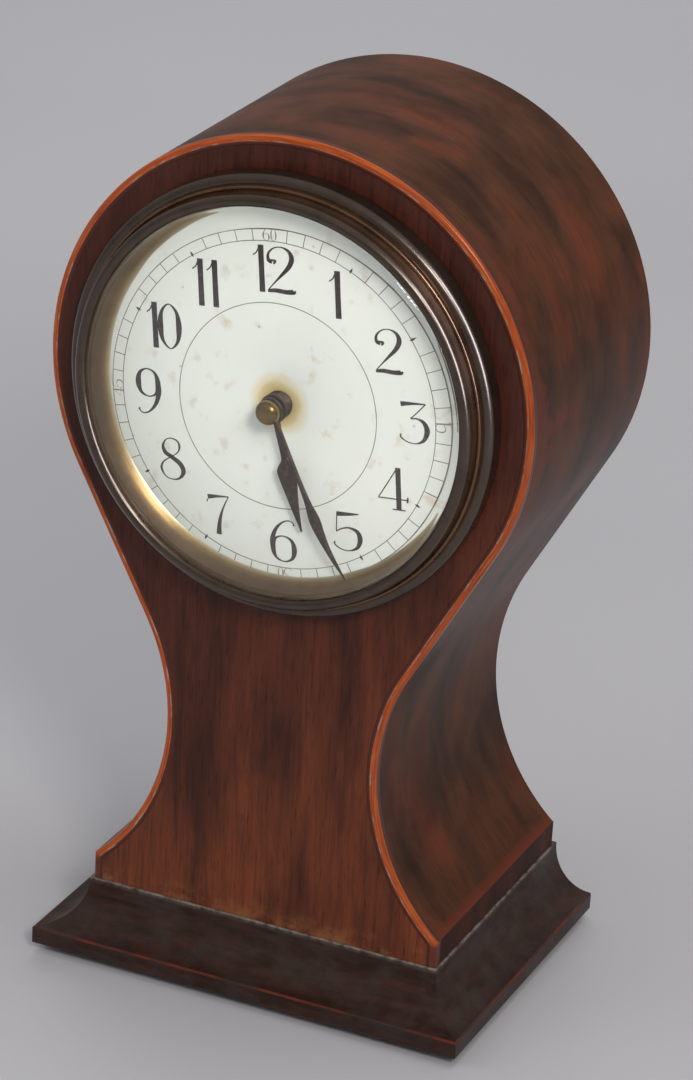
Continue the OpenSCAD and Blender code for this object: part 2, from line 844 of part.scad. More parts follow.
module sight_ring() {
    t = 0.6;
    foot_w0 = dial_w + face_gap;
    color("#c49a4c")
        turned([
            [sight_r, foot_w0], [sight_r + 1.4 * t, foot_w0], [lip_r + t, glass_w - t],
            [glass_r, glass_w - t], [glass_r, glass_w], [lip_r, glass_w]
        ], drum_at);
}

// Back door

hinge_l = knuckle_l + 2 * (fixed_knuckle_l + knuckle_gap);

module back_door() {
    color(brass) difference() {
        union() {
            rod(door_r, door_w0, door_w1, drum_at);
            upright(knuckle_r, knuckle_l, door_hinge_x, door_hinge_w);
            block([door_r - cut, door_w0, movement_drop - knuckle_l / 2],
                  [door_hinge_x, door_hinge_w + knuckle_r / 2, movement_drop + knuckle_l / 2]);
        }
        upright(hinge_pin_r + pivot_gap, 2 * hinge_l, door_hinge_x, door_hinge_w);
    }
}

module door_knob() {
    stem_l = 5.9;
    at = drum_at - [door_r - knob_r - 3.5, 0];
    color(brass) union() {
        rod(knob_r / 2, door_w0 - stem_l - knob_r / 2, door_w0, at);
        axial(door_w0 - stem_l - knob_r, at)
            sphere(knob_r);
    }
}

module door_hinge_pin() {
    color(brass) upright(hinge_pin_r, hinge_l, door_hinge_x, door_hinge_w);
}

// Movement frame

pillar_at_deg = [40, 140, 213, 327];
movement_screw_deg = [90, 210, 330];
movement_screw_at = front_plate_r - plate_head_r;

module movement_screw_holes(w0, w1)
    for (a = movement_screw_deg)
        rod(plate_screw_r + screw_gap, w0, w1, polar(movement_screw_at, a));

module front_plate() {
    w1 = front_plate_w;
    color(brass) difference() {
        union() {
            rod(front_plate_r, pillar_w1, w1);
            rod(arbor_r, w1 - cut, minute_pinion_w1 + 0.6, minute_arbor_at);
        }
        rod(stem_r + pivot_gap, pillar_w1 - cut, w1 + cut);
        rod(barrel_arbor_r - 0.7 + pivot_gap, pillar_w1 - cut, w1 + cut, barrel_at);
        for (p = [inter_at, third_at, fourth_at, escape_at])
            rod(pivot_r + pivot_gap, pillar_w1 - cut, w1 + cut, p);
        pillar_screw_holes(pillar_w1 - cut, w1 + cut);
        movement_screw_holes(pillar_w1 - cut, w1 + cut);
    }
}

module back_plate() {
    w0 = back_plate_w;
    w1 = pillar_w0;
    color(brass) difference() {
        union() {
            rod(back_plate_r, w0, w1);
            rod(click_hub_r / 2, ratchet_w1 - ratchet_t - 0.4, w0 + cut, click_at);
        }
        rod(stem_r + pivot_gap, w0 - cut, w1 + cut);
        rod(barrel_arbor_r - 0.3 + pivot_gap, w0 - cut, w1 + cut, barrel_at);
        for (p = [inter_at, third_at, fourth_at])
            rod(pivot_r + pivot_gap, w0 - cut, w1 + cut, p);
        rod(2 * pivot_r, w0 - cut, w1 + cut, escape_at);
        pillar_screw_holes(w0 - cut, w1 + cut);
        platform_screw_holes(w0 - cut, w1 + cut);
    }
}

module pillar_screw_holes(w0, w1)
    for (a = pillar_at_deg)
        rod(plate_screw_r + screw_gap, w0, w1, polar(pillar_at, a));

module pillars() {
    color(brass) difference() {
        for (a = pillar_at_deg)
            rod(pillar_r, pillar_w0, pillar_w1, polar(pillar_at, a));
        pillar_screw_holes(pillar_w0 - cut, pillar_w1 + cut);
    }
}

plate_head_t = 1.2;
thread_l = 6;

module pillar_screws() {
    color(steel)
        for (a = pillar_at_deg) {
            p = polar(pillar_at, a);
            rod(plate_screw_r, back_plate_w, pillar_w0 + thread_l, p);
            rod(plate_head_r, back_plate_w - plate_head_t, back_plate_w, p);
            rod(plate_screw_r, pillar_w1 - thread_l, front_plate_w, p);
            rod(plate_head_r, front_plate_w, front_plate_w + plate_head_t, p);
        }
}

module movement_screws() {
    color(steel)
        for (a = movement_screw_deg) {
            p = polar(movement_screw_at, a);
            rod(plate_screw_r, pillar_w1, front_plate_w + seat_t, p);
            rod(plate_head_r, pillar_w1 - plate_head_t, pillar_w1, p);
        }
}

// Winding work and barrel

module winding_arbor() {
    color(steel) union() {
        rod(barrel_arbor_r - 0.7, pillar_w1 - shake, front_plate_w - shake, barrel_at);
        rod(barrel_arbor_r, pillar_w0 + shake, pillar_w1 - shake, barrel_at);
        rod(barrel_arbor_r - 0.3, back_plate_w - shake, pillar_w0 + shake, barrel_at);
        axial(back_plate_w - square_l, barrel_at)
            linear_extrude(square_l)
                square(square_w, center = true);
    }
}

// Ratchet teeth: a steep face for the click and a long slope that lifts it
tooth_depth = 1;
steep = 2;
nose_at_deg = 60;
nose_in = 1.5;

module ratchet_wheel() {
    pitch = 360 / ratchet_n;
    tip_at = nose_at_deg + steep + nose_in;
    color(steel) axial(ratchet_w1 - ratchet_t, barrel_at)
        linear_extrude(ratchet_t)
            difference() {
                polygon([
                    for (i = [0:ratchet_n - 1], p = [[ratchet_r - tooth_depth, -steep], [ratchet_r, 0]])
                        polar(p[0], tip_at + i * pitch + p[1])
                ]);
                square(square_w + 2 * press_gap, center = true);
            }
}

// The click's own directions: along its arm from the nose, and out from the ratchet wheel
nose_lift = 0.3;
click_nose = barrel_at + polar(ratchet_r - tooth_depth + nose_lift, nose_at_deg);
click_along = [sin(nose_at_deg), -cos(nose_at_deg)];
click_out = [cos(nose_at_deg), sin(nose_at_deg)];
click_l = 8;
click_hub_r = 1.6;
click_arm_in = 1.2;
click_arm_out = 2.8;
click_at = click_place([click_l, (click_arm_in + click_arm_out) / 2]);

function click_place(p) = click_nose + p.x * click_along + p.y * click_out;

module click() {
    arm = [
        [0, 0], [0.55, click_arm_in], [click_l, click_arm_in], [click_l, click_arm_out],
        [0.6, click_arm_out], [-0.2, 1]
    ];
    color(steel) difference() {
        union() {
            axial(ratchet_w1 - ratchet_t)
                linear_extrude(ratchet_t)
                    polygon([for (p = arm) click_place(p)]);
            rod(click_hub_r, ratchet_w1 - ratchet_t, ratchet_w1, click_at);
        }
        rod(click_hub_r / 2 + pivot_gap, ratchet_w1 - ratchet_t - cut, ratchet_w1 + cut, click_at);
    }
}

// Blade that presses the click home, standing on a foot on the back plate
module click_spring() {
    blade_t = 0.3;
    room = 0.2;
    foot_x = click_l + click_hub_r + 1.6;
    hub_x = click_l - click_hub_r - room;
    y0 = click_arm_out + room;
    y1 = (click_arm_in + click_arm_out) / 2 + click_hub_r + room;
    under = [[0.8, y0], [hub_x / 2, y0], [hub_x, y1], [foot_x, y1]];
    blade = concat(under, [for (i = [3:-1:0]) under[i] + [0, blade_t]]);
    foot = [
        [foot_x - 0.4, y1 - 1], [foot_x + 1.8, y1 - 1],
        [foot_x + 1.8, y1 + 1.2], [foot_x - 0.4, y1 + 1.2]
    ];
    color(blued) union() {
        axial(ratchet_w1 - ratchet_t)
            linear_extrude(ratchet_t)
                polygon([for (p = blade) click_place(p)]);
        axial(ratchet_w1 - ratchet_t)
            linear_extrude(back_plate_w - ratchet_w1 + ratchet_t)
                polygon([for (p = foot) click_place(p)]);
    }
}

floor_t = great_t;
spring_room = 0.5;

module barrel() {
    color(brass) difference() {
        union() {
            axial(great_w, barrel_at)
                linear_extrude(great_t)
                    polygon(gear_points(great_n, great_m, wheel_tooth, 0));
            rod(barrel_r, great_w + great_t / 2, barrel_w1, barrel_at);
        }
        rod(barrel_r - barrel_wall, great_w + floor_t, barrel_w1 + cut, barrel_at);
        rod(barrel_arbor_r + pivot_gap, great_w - cut, barrel_w1, barrel_at);
    }
}

module barrel_cover() {
    color(brass) difference() {
        rod(barrel_r, barrel_w1, barrel_w1 + cover_t, barrel_at);
        rod(barrel_arbor_r + pivot_gap, barrel_w1 - cut, barrel_w1 + cover_t + cut, barrel_at);
    }
}

// A flat spiral band, wound outwards from r0 to r1
function spiral(r0, r1, turns, t, steps) = concat(
    [for (i = [0:turns * steps]) polar(r0 + (r1 - r0) * i / (turns * steps), i * 360 / steps)],
    [for (i = [turns * steps:-1:0]) polar(r0 + t + (r1 - r0) * i / (turns * steps), i * 360 / steps)]
);

module mainspring() {
    turns = 7;
    steps = 20;
    color(blued) axial(great_w + floor_t + spring_room, barrel_at)
        linear_extrude(barrel_h - 2 * spring_room)
            polygon(spiral(barrel_arbor_r + 0.6, barrel_r - barrel_wall - mainspring_t - 0.4,
                           turns, mainspring_t, steps));
}

// Going train

seat_r = 1.6;
small_seat_r = 1.2;

// A pivoted arbor between the plates
module plain_arbor(at, r) {
    rod(r, pillar_w0 + shake, pillar_w1 - shake, at);
    rod(pivot_r, back_plate_w + shake, front_plate_w - shake, at);
}

module intermediate_wheel() {
    color(brass) wheel(inter_n, inter_m, wheel_t, inter_w, inter_at, 0, seat_r, 5);
}

module intermediate_arbor() {
    phase = mesh_phase(bearing(barrel_at, inter_at), 0, great_n, inter_leaves);
    color(steel) union() {
        plain_arbor(inter_at, arbor_r + 0.2);
        pinion(inter_leaves, great_m, great_w - 0.5, great_w + great_t + leaf_over, inter_at, phase);
        rod(seat_r, inter_w, inter_w + wheel_t, inter_at);
    }
}

module centre_wheel() {
    color(brass) wheel(centre_n, centre_m, wheel_t, centre_w, origin, 0, seat_r, 5);
}

module centre_arbor() {
    phase = mesh_phase(bearing(inter_at, origin), 0, inter_n, centre_leaves);
    color(steel) union() {
        rod(centre_arbor_r, pillar_w0 + shake, pillar_w1 - shake);
        rod(stem_r, knob_w1 - set_knob_l / 2, minute_hand_w + hand_t + nut_h / 2);
        pinion(centre_leaves, inter_m, inter_w - leaf_over, inter_w + wheel_t + 0.6, origin, phase);
        rod(seat_r, centre_w, centre_w + wheel_t);
    }
}

module third_wheel() {
    color(brass) wheel(third_n, third_m, wheel_t, third_w, third_at, 0, small_seat_r, 5);
}

module third_arbor() {
    phase = mesh_phase(bearing(origin, third_at), 0, centre_n, third_leaves);
    color(steel) union() {
        plain_arbor(third_at, arbor_r);
        pinion(third_leaves, centre_m, centre_w - leaf_over, centre_w + wheel_t + 0.6, third_at, phase);
        rod(small_seat_r, third_w, third_w + wheel_t, third_at);
    }
}

module fourth_wheel() {
    phase = mesh_phase(bearing(third_at, fourth_at), 0, third_n, fourth_leaves);
    color(brass) union() {
        wheel(fourth_n, fourth_m, wheel_t, fourth_w, fourth_at, 0, 0.5, 5);
        rod(small_seat_r, fourth_w, fourth_w + wheel_t, fourth_at);
        plain_arbor(fourth_at, arbor_r);
        pinion(fourth_leaves, third_m, third_w - leaf_over, third_w + wheel_t + leaf_over, fourth_at, phase);
    }
}

module escape_wheel() {
    phase = mesh_phase(bearing(fourth_at, escape_at), 0, fourth_n, escape_leaves);
    body_r = fourth_m * escape_leaves / 2 - pinion_tooth[2] * fourth_m - 0.05;
    pitch = 360 / escape_n;
    corners = [[0.72, 0], [0.97, 0.05], [1, 0.12], [0.95, 0.3], [0.74, 0.22]];
    color(brass) union() {
        axial(escape_w - escape_t, escape_at)
            linear_extrude(escape_t)
                polygon([
                    for (i = [0:escape_n - 1], c = corners)
                        polar(c[0] * escape_r, (i + c[1]) * pitch)
                ]);
        rod(body_r, bridge_w1 + shake, pillar_w1 - shake, escape_at);
        rod(0.7 * pivot_r, bridge_w1 - bridge_t + shake, front_plate_w - shake, escape_at);
        pinion(escape_leaves, fourth_m, fourth_w - leaf_over, fourth_w + wheel_t + leaf_over,
               escape_at, phase);
    }
}

// Escapement

platform_x0 = balance_at.x - balance_r - platform_end;
platform_y0 = balance_at.y - platform_w / 2 - 1;
fine_pivot_r = 0.3;
lever_arbor_r = 0.45;
bridge_leg_r = 1;
bridge_leg_at = [escape_at + [escape_r + 1.8, 0], lever_at - [0, 6.2]];

module platform() {
    color(brass) difference() {
        axial(platform_w0)
            translate([platform_x0, platform_y0])
                linear_extrude(platform_t)
                    square([platform_l, platform_w]);
        rod(2 * pivot_r, platform_w0 - cut, back_plate_w + cut, escape_at);
        for (p = [lever_at, balance_at])
            rod(fine_pivot_r + pivot_gap, platform_w0 - cut, back_plate_w + cut, p);
        platform_screw_holes(platform_w0 - cut, back_plate_w + cut);
    }
}

platform_screw_r = 0.7;
platform_head_r = 1.4;
platform_screw_at = [
    for (x = [2.6, platform_l - 2], y = [2, platform_w - 2]) [platform_x0 + x, platform_y0 + y]
];

module platform_screw_holes(w0, w1)
    for (p = platform_screw_at)
        rod(platform_screw_r + screw_gap, w0, w1, p);

module platform_screws() {
    head_t = 0.8;
    color(steel)
        for (p = platform_screw_at) {
            rod(platform_screw_r, platform_w0, pillar_w0 - screw_gap, p);
            rod(platform_head_r, platform_w0 - head_t, platform_w0, p);
        }
}

module escape_bridge() {
    w0 = bridge_w1 - bridge_t;
    bar = 2.8;
    a = bridge_leg_at[0];
    b = bridge_leg_at[1];
    color(brass) difference() {
        union() {
            axial(w0)
                linear_extrude(bridge_t)
                    polygon([
                        [b.x - bar / 2, b.y - bar / 2], [b.x + bar / 2, b.y - bar / 2],
                        [b.x + bar / 2, a.y - bar / 2], [a.x + bar / 2, a.y - bar / 2],
                        [a.x + bar / 2, a.y + bar / 2], [b.x - bar / 2, a.y + bar / 2]
                    ]);
            for (p = bridge_leg_at)
                rod(bridge_leg_r, bridge_w1 - bridge_t / 2, platform_w0, p);
        }
        rod(0.7 * pivot_r + pivot_gap, w0 - cut, bridge_w1 + cut, escape_at);
        rod(fine_pivot_r + pivot_gap, w0 - cut, bridge_w1 + cut, lever_at);
    }
}

// Lever: a cross arm with two pallets, and a fork that stops short of the balance's pin
module lever() {
    pallet_y = escape_r * 0.534;
    pallet_x = escape_to_lever - escape_r * 0.98;
    fork_x = lever_to_balance - 2;
    half = 0.4;
    color(steel) union() {
        axial(escape_w - escape_t, lever_at)
            linear_extrude(escape_t)
                polygon([
                    [half, pallet_y], [pallet_x, pallet_y], [pallet_x, pallet_y + 0.7],
                    [-half, pallet_y + 0.7], [-half, half], [half - fork_x, half],
                    [-fork_x, 0.9], [0.5 - fork_x, 0], [-fork_x, -0.9], [half - fork_x, -half],
                    [-half, -half], [-half, -pallet_y - 0.7], [pallet_x, -pallet_y - 0.7],
                    [pallet_x, -pallet_y], [half, -pallet_y]
                ]);
        rod(lever_arbor_r, bridge_w1 + shake, platform_w0 - shake, lever_at);
        rod(fine_pivot_r, bridge_w1 - bridge_t + shake, back_plate_w - shake, lever_at);
    }
}

roller_r = 1.6;
pin_at = 1.2;
pin_r = 0.25;
staff_r = 0.5;

module balance() {
    roller_w = escape_w - escape_t - 0.9;
    color("#c2a35c") union() {
        difference() {
            rod(balance_r, balance_w, balance_w + balance_t, balance_at);
            rod(balance_r - balance_rim, balance_w - cut, balance_w + balance_t + cut, balance_at);
        }
        axial(balance_w + 0.2, balance_at)
            linear_extrude(balance_t - 0.4)
                square([2 * balance_r - balance_rim, 1.3], center = true);
        rod(roller_r, balance_w, balance_w + balance_t, balance_at);
        rod(roller_r, roller_w, roller_w + 0.6, balance_at);
        rod(pin_r, roller_w + 0.3, escape_w, balance_at + [pin_at, 0]);
        rod(staff_r, cock_w1 + shake, platform_w0 - shake, balance_at);
        rod(fine_pivot_r, cock_w1 - cock_t + shake, back_plate_w - shake, balance_at);
    }
}

module hairspring() {
    turns = 6;
    steps = 18;
    color(blued) axial(hairspring_w, balance_at)
        linear_extrude(hairspring_h)
            polygon(spiral(staff_r + press_gap, balance_r * 0.6, turns, hairspring_t, steps));
}

post_r = 1.2;

module balance_cock() {
    foot_x0 = platform_x0 + 0.6;
    foot_x1 = balance_at.x - balance_r - 2.3;
    w0 = cock_w1 - cock_t;
    y = balance_at.y;
    color(brass) difference() {
        union() {
            block([foot_x0, w0, y - 3], [foot_x1, platform_w0, y + 3]);
            block([foot_x0, w0, y - 1.7], [balance_at.x + 2.4, cock_w1, y + 1.7]);
            rod(post_r, regulator_w1 - regulator_t - 0.3, cock_w1, balance_at);
        }
        rod(fine_pivot_r + pivot_gap, w0, cock_w1 + cut, balance_at);
    }
}

module regulator() {
    w0 = regulator_w1 - regulator_t;
    hub_r = post_r + 1.2;
    color(steel) difference() {
        union() {
            rod(hub_r, w0, regulator_w1, balance_at);
            axial(w0, balance_at)
                linear_extrude(regulator_t)
                    polygon([
                        [-0.9, 0], [0.9, 0],
                        [0.25, -hub_r - regulator_l], [-0.25, -hub_r - regulator_l]
                    ]);
        }
        rod(post_r + pivot_gap, w0 - cut, regulator_w1 + cut, balance_at);
    }
}

// Motion work and hands

module cannon_pinion() {
    color(steel) difference() {
        union() {
            pinion(cannon_leaves, cannon_m, cannon_w, cannon_w + cannon_t, origin, 0);
            rod(cannon_r, cannon_w + cannon_t, minute_hand_w + hand_t);
        }
        rod(cannon_bore, cannon_w - cut, minute_hand_w + hand_t + cut);
    }
}

module minute_wheel() {
    phase = mesh_phase(bearing(origin, minute_arbor_at), 0, cannon_leaves, minute_n);
    color(brass) difference() {
        union() {
            axial(minute_wheel_w, minute_arbor_at)
                linear_extrude(wheel_t)
                    polygon(gear_points(minute_n, cannon_m, wheel_tooth, phase));
            pinion(minute_leaves, hour_m, minute_wheel_w, minute_pinion_w1, minute_arbor_at, 0);
        }
        rod(arbor_r + pivot_gap, front_plate_w, minute_pinion_w1 + cut, minute_arbor_at);
    }
}

module hour_wheel() {
    phase = mesh_phase(bearing(minute_arbor_at, origin), 0, minute_leaves, hour_n);
    color(brass) difference() {
        union() {
            axial(hour_wheel_w)
                linear_extrude(wheel_t)
                    polygon(gear_points(hour_n, hour_m, wheel_tooth, phase));
            rod(hour_pipe_r, hour_wheel_w, hour_hand_w + hand_t);
        }
        rod(hour_bore, hour_wheel_w - cut, hour_hand_w + hand_t + cut);
    }
}

// A pierced boss and a blade: corners are [along, half width], from the boss to the tip
module hand(w, turn, boss_r, bore, corners) {
    axial(w)
        linear_extrude(hand_t)
            rotate(-turn)
                difference() {
                    union() {
                        circle(boss_r);
                        polygon(concat(
                            [for (c = corners) [c[1], c[0]]],
                            [for (i = [len(corners) - 1:-1:0]) [-corners[i][1], corners[i][0]]]
                        ));
                    }
                    circle(bore);
                }
}

module hour_hand() {
    l = hour_hand_l;
    boss = hour_pipe_r + 0.7;
    bore = hour_pipe_r + press_gap;
    color(blued) union() {
        hand(hour_hand_w, hour_at, boss, bore, [
            [boss * 0.8, 1], [l * 0.42, 0.8], [l * 0.48, hour_leaf_w * 0.4], [l * 0.53, hour_leaf_w / 2],
            [l * 0.62, hour_leaf_w * 0.43], [l * 0.78, hour_leaf_w * 0.22], [l, 0.15]
        ]);
        difference() {
            rod(boss - 0.1, dial_w + face_gap, hour_hand_w + hand_t / 2);
            rod(bore + 0.1, dial_w, hour_hand_w + hand_t);
        }
    }
}

module minute_hand() {
    l = minute_hand_l;
    boss = cannon_r + 1.2;
    color(blued)
        hand(minute_hand_w, minute_at, boss, cannon_r + press_gap, [
            [boss * 0.8, 0.8], [l * 0.45, 0.6], [l * 0.56, minute_leaf_w / 2], [l * 0.68, 0.8], [l, 0.12]
        ]);
}

module hand_nut() {
    w0 = minute_hand_w + hand_t;
    color("#c9a04e") difference() {
        turned(concat(
            [[0, w0], [nut_r * 0.7, w0]],
            [for (a = [-30:15:75]) [nut_r * cos(a), w0 + nut_h * (0.4 + 0.6 * sin(a))]],
            [[0, w0 + nut_h]]
        ));
        rod(stem_r + press_gap, w0 - cut, w0 + nut_h / 2 + press_gap);
    }
}

module set_knob() {
    color(brass) difference() {
        rod(set_knob_r, knob_w1 - set_knob_l, knob_w1);
        rod(stem_r + press_gap, knob_w1 - set_knob_l / 2 - press_gap, knob_w1 + cut);
    }
}

front_board();
carcass();
rim_veneer();
edge_stringing();
back_board();
bottom_board();
plinth_core();
plinth_front_moulding();
plinth_left_moulding();
plinth_right_moulding();
button_feet();
plinth_screws();
back_board_screws();
drum();
dial_plate();
dial();
rear_ring();
clamp_screws();
bezel();
bezel_glass();
sight_ring();
back_door();
door_knob();
door_hinge_pin();
front_plate();
back_plate();
pillars();
pillar_screws();
movement_screws();
winding_arbor();
ratchet_wheel();
click();
click_spring();
barrel();
barrel_cover();
mainspring();
intermediate_wheel();
intermediate_arbor();
centre_wheel();
centre_arbor();
third_wheel();
third_arbor();
fourth_wheel();
escape_wheel();
platform();
platform_screws();
escape_bridge();
lever();
balance();
hairspring();
balance_cock();
regulator();
cannon_pinion();
minute_wheel();
hour_wheel();
hour_hand();
minute_hand();
hand_nut();
set_knob();
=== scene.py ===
"""Looks of a balloon mantel timepiece: figured case, moulded plinth, bezel, dial, hands and movement.

+X is right, +Z is up and the front faces -Y. Shapes are worked out in millimetres and put into the
meshes in metres. In the notes, w is the distance forward of the middle of the case, so y = -w.
"""

import math

import bmesh
import bpy
import numpy as np
from mathutils import Matrix, Vector


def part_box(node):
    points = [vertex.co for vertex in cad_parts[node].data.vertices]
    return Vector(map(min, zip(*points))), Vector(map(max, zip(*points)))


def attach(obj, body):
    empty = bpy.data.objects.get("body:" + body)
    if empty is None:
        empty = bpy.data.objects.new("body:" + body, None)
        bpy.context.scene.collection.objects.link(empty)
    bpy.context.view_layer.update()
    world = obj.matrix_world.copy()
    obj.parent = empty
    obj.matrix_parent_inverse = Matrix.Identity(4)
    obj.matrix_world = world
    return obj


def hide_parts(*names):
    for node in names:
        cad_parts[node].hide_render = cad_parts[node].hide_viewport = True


bl_info = {
    "name": "Balloon timepiece",
    "version": (1, 0, 0),
    "blender": (4, 5, 0),
    "location": "View3D > Sidebar > Timepiece",
    "description": "Builds the case, plinth, bezel, dial, hands and finishes of a balloon timepiece",
    "category": "Object",
}

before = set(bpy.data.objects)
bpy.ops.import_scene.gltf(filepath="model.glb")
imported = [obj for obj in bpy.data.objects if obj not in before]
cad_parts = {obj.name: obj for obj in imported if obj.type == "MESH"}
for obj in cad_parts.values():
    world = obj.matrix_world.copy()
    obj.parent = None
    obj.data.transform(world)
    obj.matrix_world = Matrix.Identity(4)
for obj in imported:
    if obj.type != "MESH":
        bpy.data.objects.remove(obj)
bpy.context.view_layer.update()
MM = 0.001


def node_box(name):
    """The two corners of a node's box, in millimetres."""
    return [np.array(corner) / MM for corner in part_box(name)]


# Case outline, from the part's own frame where a node's box gives it
STRING_LOW, STRING_HIGH = node_box("edge_stringing")
HEAD_R = STRING_HIGH[0]
HEAD_Z = STRING_HIGH[2] - HEAD_R
BASE_Z = STRING_LOW[2]
FRONT_W = -node_box("front_board")[0][1]
BACK_W = -node_box("carcass")[1][1]
FOOT_HALF = 48.5
WAIST_X, WAIST_Z, WAIST_R = 86.2, BASE_Z + 49.8, 57.0
TANGENT = (math.atan2(WAIST_Z - HEAD_Z, WAIST_X)
           + math.acos((HEAD_R + WAIST_R) / math.hypot(WAIST_X, HEAD_Z - WAIST_Z)))
FILLET_Z = WAIST_Z - WAIST_R * math.sin(math.acos((WAIST_X - FOOT_HALF) / WAIST_R))

# Plinth: the core that carries the mouldings, as half width and as y of its front and back
CORE_LOW, CORE_HIGH = node_box("plinth_core")
CORE_X, CORE_FRONT, CORE_BACK = CORE_HIGH[0], CORE_LOW[1], CORE_HIGH[1]
PLINTH_LOW = CORE_LOW[2]

# Dial, sight ring and glass: distances forward, and radii about the middle of the head
DIAL_LOW, DIAL_HIGH = node_box("dial")
AXIS_Z = (DIAL_LOW[2] + DIAL_HIGH[2]) / 2
DIAL_W = -DIAL_LOW[1]
GLASS_W = -node_box("bezel_glass")[1][1]
RING_R, SIGHT_R, SEAT_R = 45.8, 49.6, 51.6
DIAL_STEPS = 216
INNER_R, TRACK, QUARTER_R = 26.2, (41.6, 44.4), 43.1

# Back: the rear ring's thickness, and how far the face of the shut door stands behind the ring
RING_T, DOOR_OUT = 1.6, 1.4
REAR_W = BACK_W - RING_T
BACK_NODES = ("rear_ring", "door_hinge_pin", "back_door", "door_knob")

# Stage: the point that the lamps face, in metres
LIT_AT = (0.0, 0.0, 0.11)


def linear(colour):
    """Linear red, green, blue and alpha of an sRGB hex colour."""
    value = np.array([int(colour[i:i + 2], 16) for i in (1, 3, 5)]) / 255
    bent = np.where(value <= 0.04045, value / 12.92, ((value + 0.055) / 1.055) ** 2.4)
    return (*bent.tolist(), 1.0)


def size(name, default, words):
    """A length property given in millimetres."""
    return bpy.props.FloatProperty(name=name, description=words, default=default * MM,
                                   unit="LENGTH", precision=5)


def tint(name, default, words):
    """A colour property given as an sRGB hex value."""
    return bpy.props.FloatVectorProperty(name=name, description=words, default=linear(default)[:3],
                                         subtype="COLOR", size=3, min=0, max=1)


class TimepieceSizes(bpy.types.PropertyGroup):
    """Sizes of the finishing detail"""

    string_round: size("Stringing round", 0.9, "Radius worn on the outer arris of the stringing")
    arris: size("Plinth arris", 0.45, "Radius worn on the edges of the plinth mouldings")
    numeral_h: size("Numeral height", 11.3, "Mean height of the hour numerals")
    numeral_r: size("Numeral radius", 34.6, "Distance of the hour numerals from the middle of the dial")
    quarter_h: size("Quarter height", 2.9, "Height of the quarter numerals in the minute track")
    line_w: size("Line width", 0.2, "Width of the fine lines painted on the dial")
    paint_t: size("Paint thickness", 0.03, "Height of the painted marks over the enamel")
    dial_turn: bpy.props.FloatProperty(
        name="Dial turn", description="Turn of the dial in its case, anticlockwise from the front",
        default=math.radians(5.4), subtype="ANGLE")


class TimepieceColours(bpy.types.PropertyGroup):
    """Colours of the finishes"""

    board: tint("Front board", "#4a2318", "Polished mahogany of the front")
    board_dark: tint("Front board dark", "#2b130d", "Dark figure of the front")
    # This colour is painted light: it makes the front paler and redder towards its lit lower right
    board_warm: tint("Front board warm", "#7f3f21", "Painted light towards the foot and the right")
    veneer: tint("Rim veneer", "#50301f", "Figured veneer round the sides")
    veneer_dark: tint("Rim veneer dark", "#2c1b13", "Dark streaks in the veneer")
    veneer_warm: tint("Rim veneer warm", "#6a3422", "Red streaks in the veneer")
    stringing: tint("Stringing", "#a8491b", "Stained stringing at the front arris")
    plinth: tint("Plinth", "#33201a", "Ebonised plinth mouldings")
    worn: tint("Worn edge", "#6e3020", "Wood that shows through at worn edges")
    bronze: tint("Bezel", "#4c3e33", "Patinated brass of the bezel")
    gilt: tint("Gilt", "#967a48", "Brass of the nut")
    sight: tint("Sight ring", "#786040", "Browned gilding of the sight ring")
    brass: tint("Brass", "#b8964f", "Lacquered brass of the movement and the back")
    enamel: tint("Enamel", "#ecf0ec", "White enamel of the dial")
    ink: tint("Numerals", "#2b2522", "Paint of the numerals")
    hands: tint("Hands", "#3d2e24", "Browned steel of the hands")
    floor: tint("Floor", "#afaeb2", "Pale floor")


def shade(group, name):
    """A property's colour with full alpha, for a shader socket."""
    return (*getattr(group, name), 1.0)


# Surfaces


def skin(rows, loop=True, ring=False):
    """Joins rows of section points, an array of n sections by m points, with quads between neighbours.

    loop closes each section on itself and ring joins the last section to the first. A path with two
    ends gets a flat face on each.
    """
    n, m = rows.shape[:2]
    index = np.arange(n * m).reshape(n, m)
    grid = np.vstack([index, index[:1]]) if ring else index
    grid = np.hstack([grid, grid[:, :1]]) if loop else grid
    quads = np.stack([grid[:-1, :-1], grid[1:, :-1], grid[1:, 1:], grid[:-1, 1:]], -1)
    faces = quads.reshape(-1, 4).tolist()
    if loop and not ring:
        faces += [index[0, ::-1].tolist(), index[-1].tolist()]
    return rows.reshape(-1, 3), faces


def arc(centre, r, start, end, n):
    """n evenly spaced points of a circular arc."""
    turn = np.linspace(start, end, n)
    return np.stack([centre[0] + r * np.cos(turn), centre[1] + r * np.sin(turn)], -1)


def lathe(profile, at=(0.0, HEAD_Z), steps=144, loop=True, upright=False):
    """Carries a profile of (radius, w) points round an axis that runs from back to front at x, z.

    x = x0 + r cos t, z = z0 + r sin t, y = -w. An upright axis stands at x, y and takes heights for w.
    """
    turn = np.linspace(0, 2 * math.pi, steps, endpoint=False)[:, None]
    r, level = np.asarray(profile, float).T
    x, other, level = at[0] + r * np.cos(turn), at[1] + r * np.sin(turn), level + 0 * turn
    rows = [x, other, level] if upright else [x, -level, other]
    return skin(np.stack(rows, -1), loop=loop, ring=True)


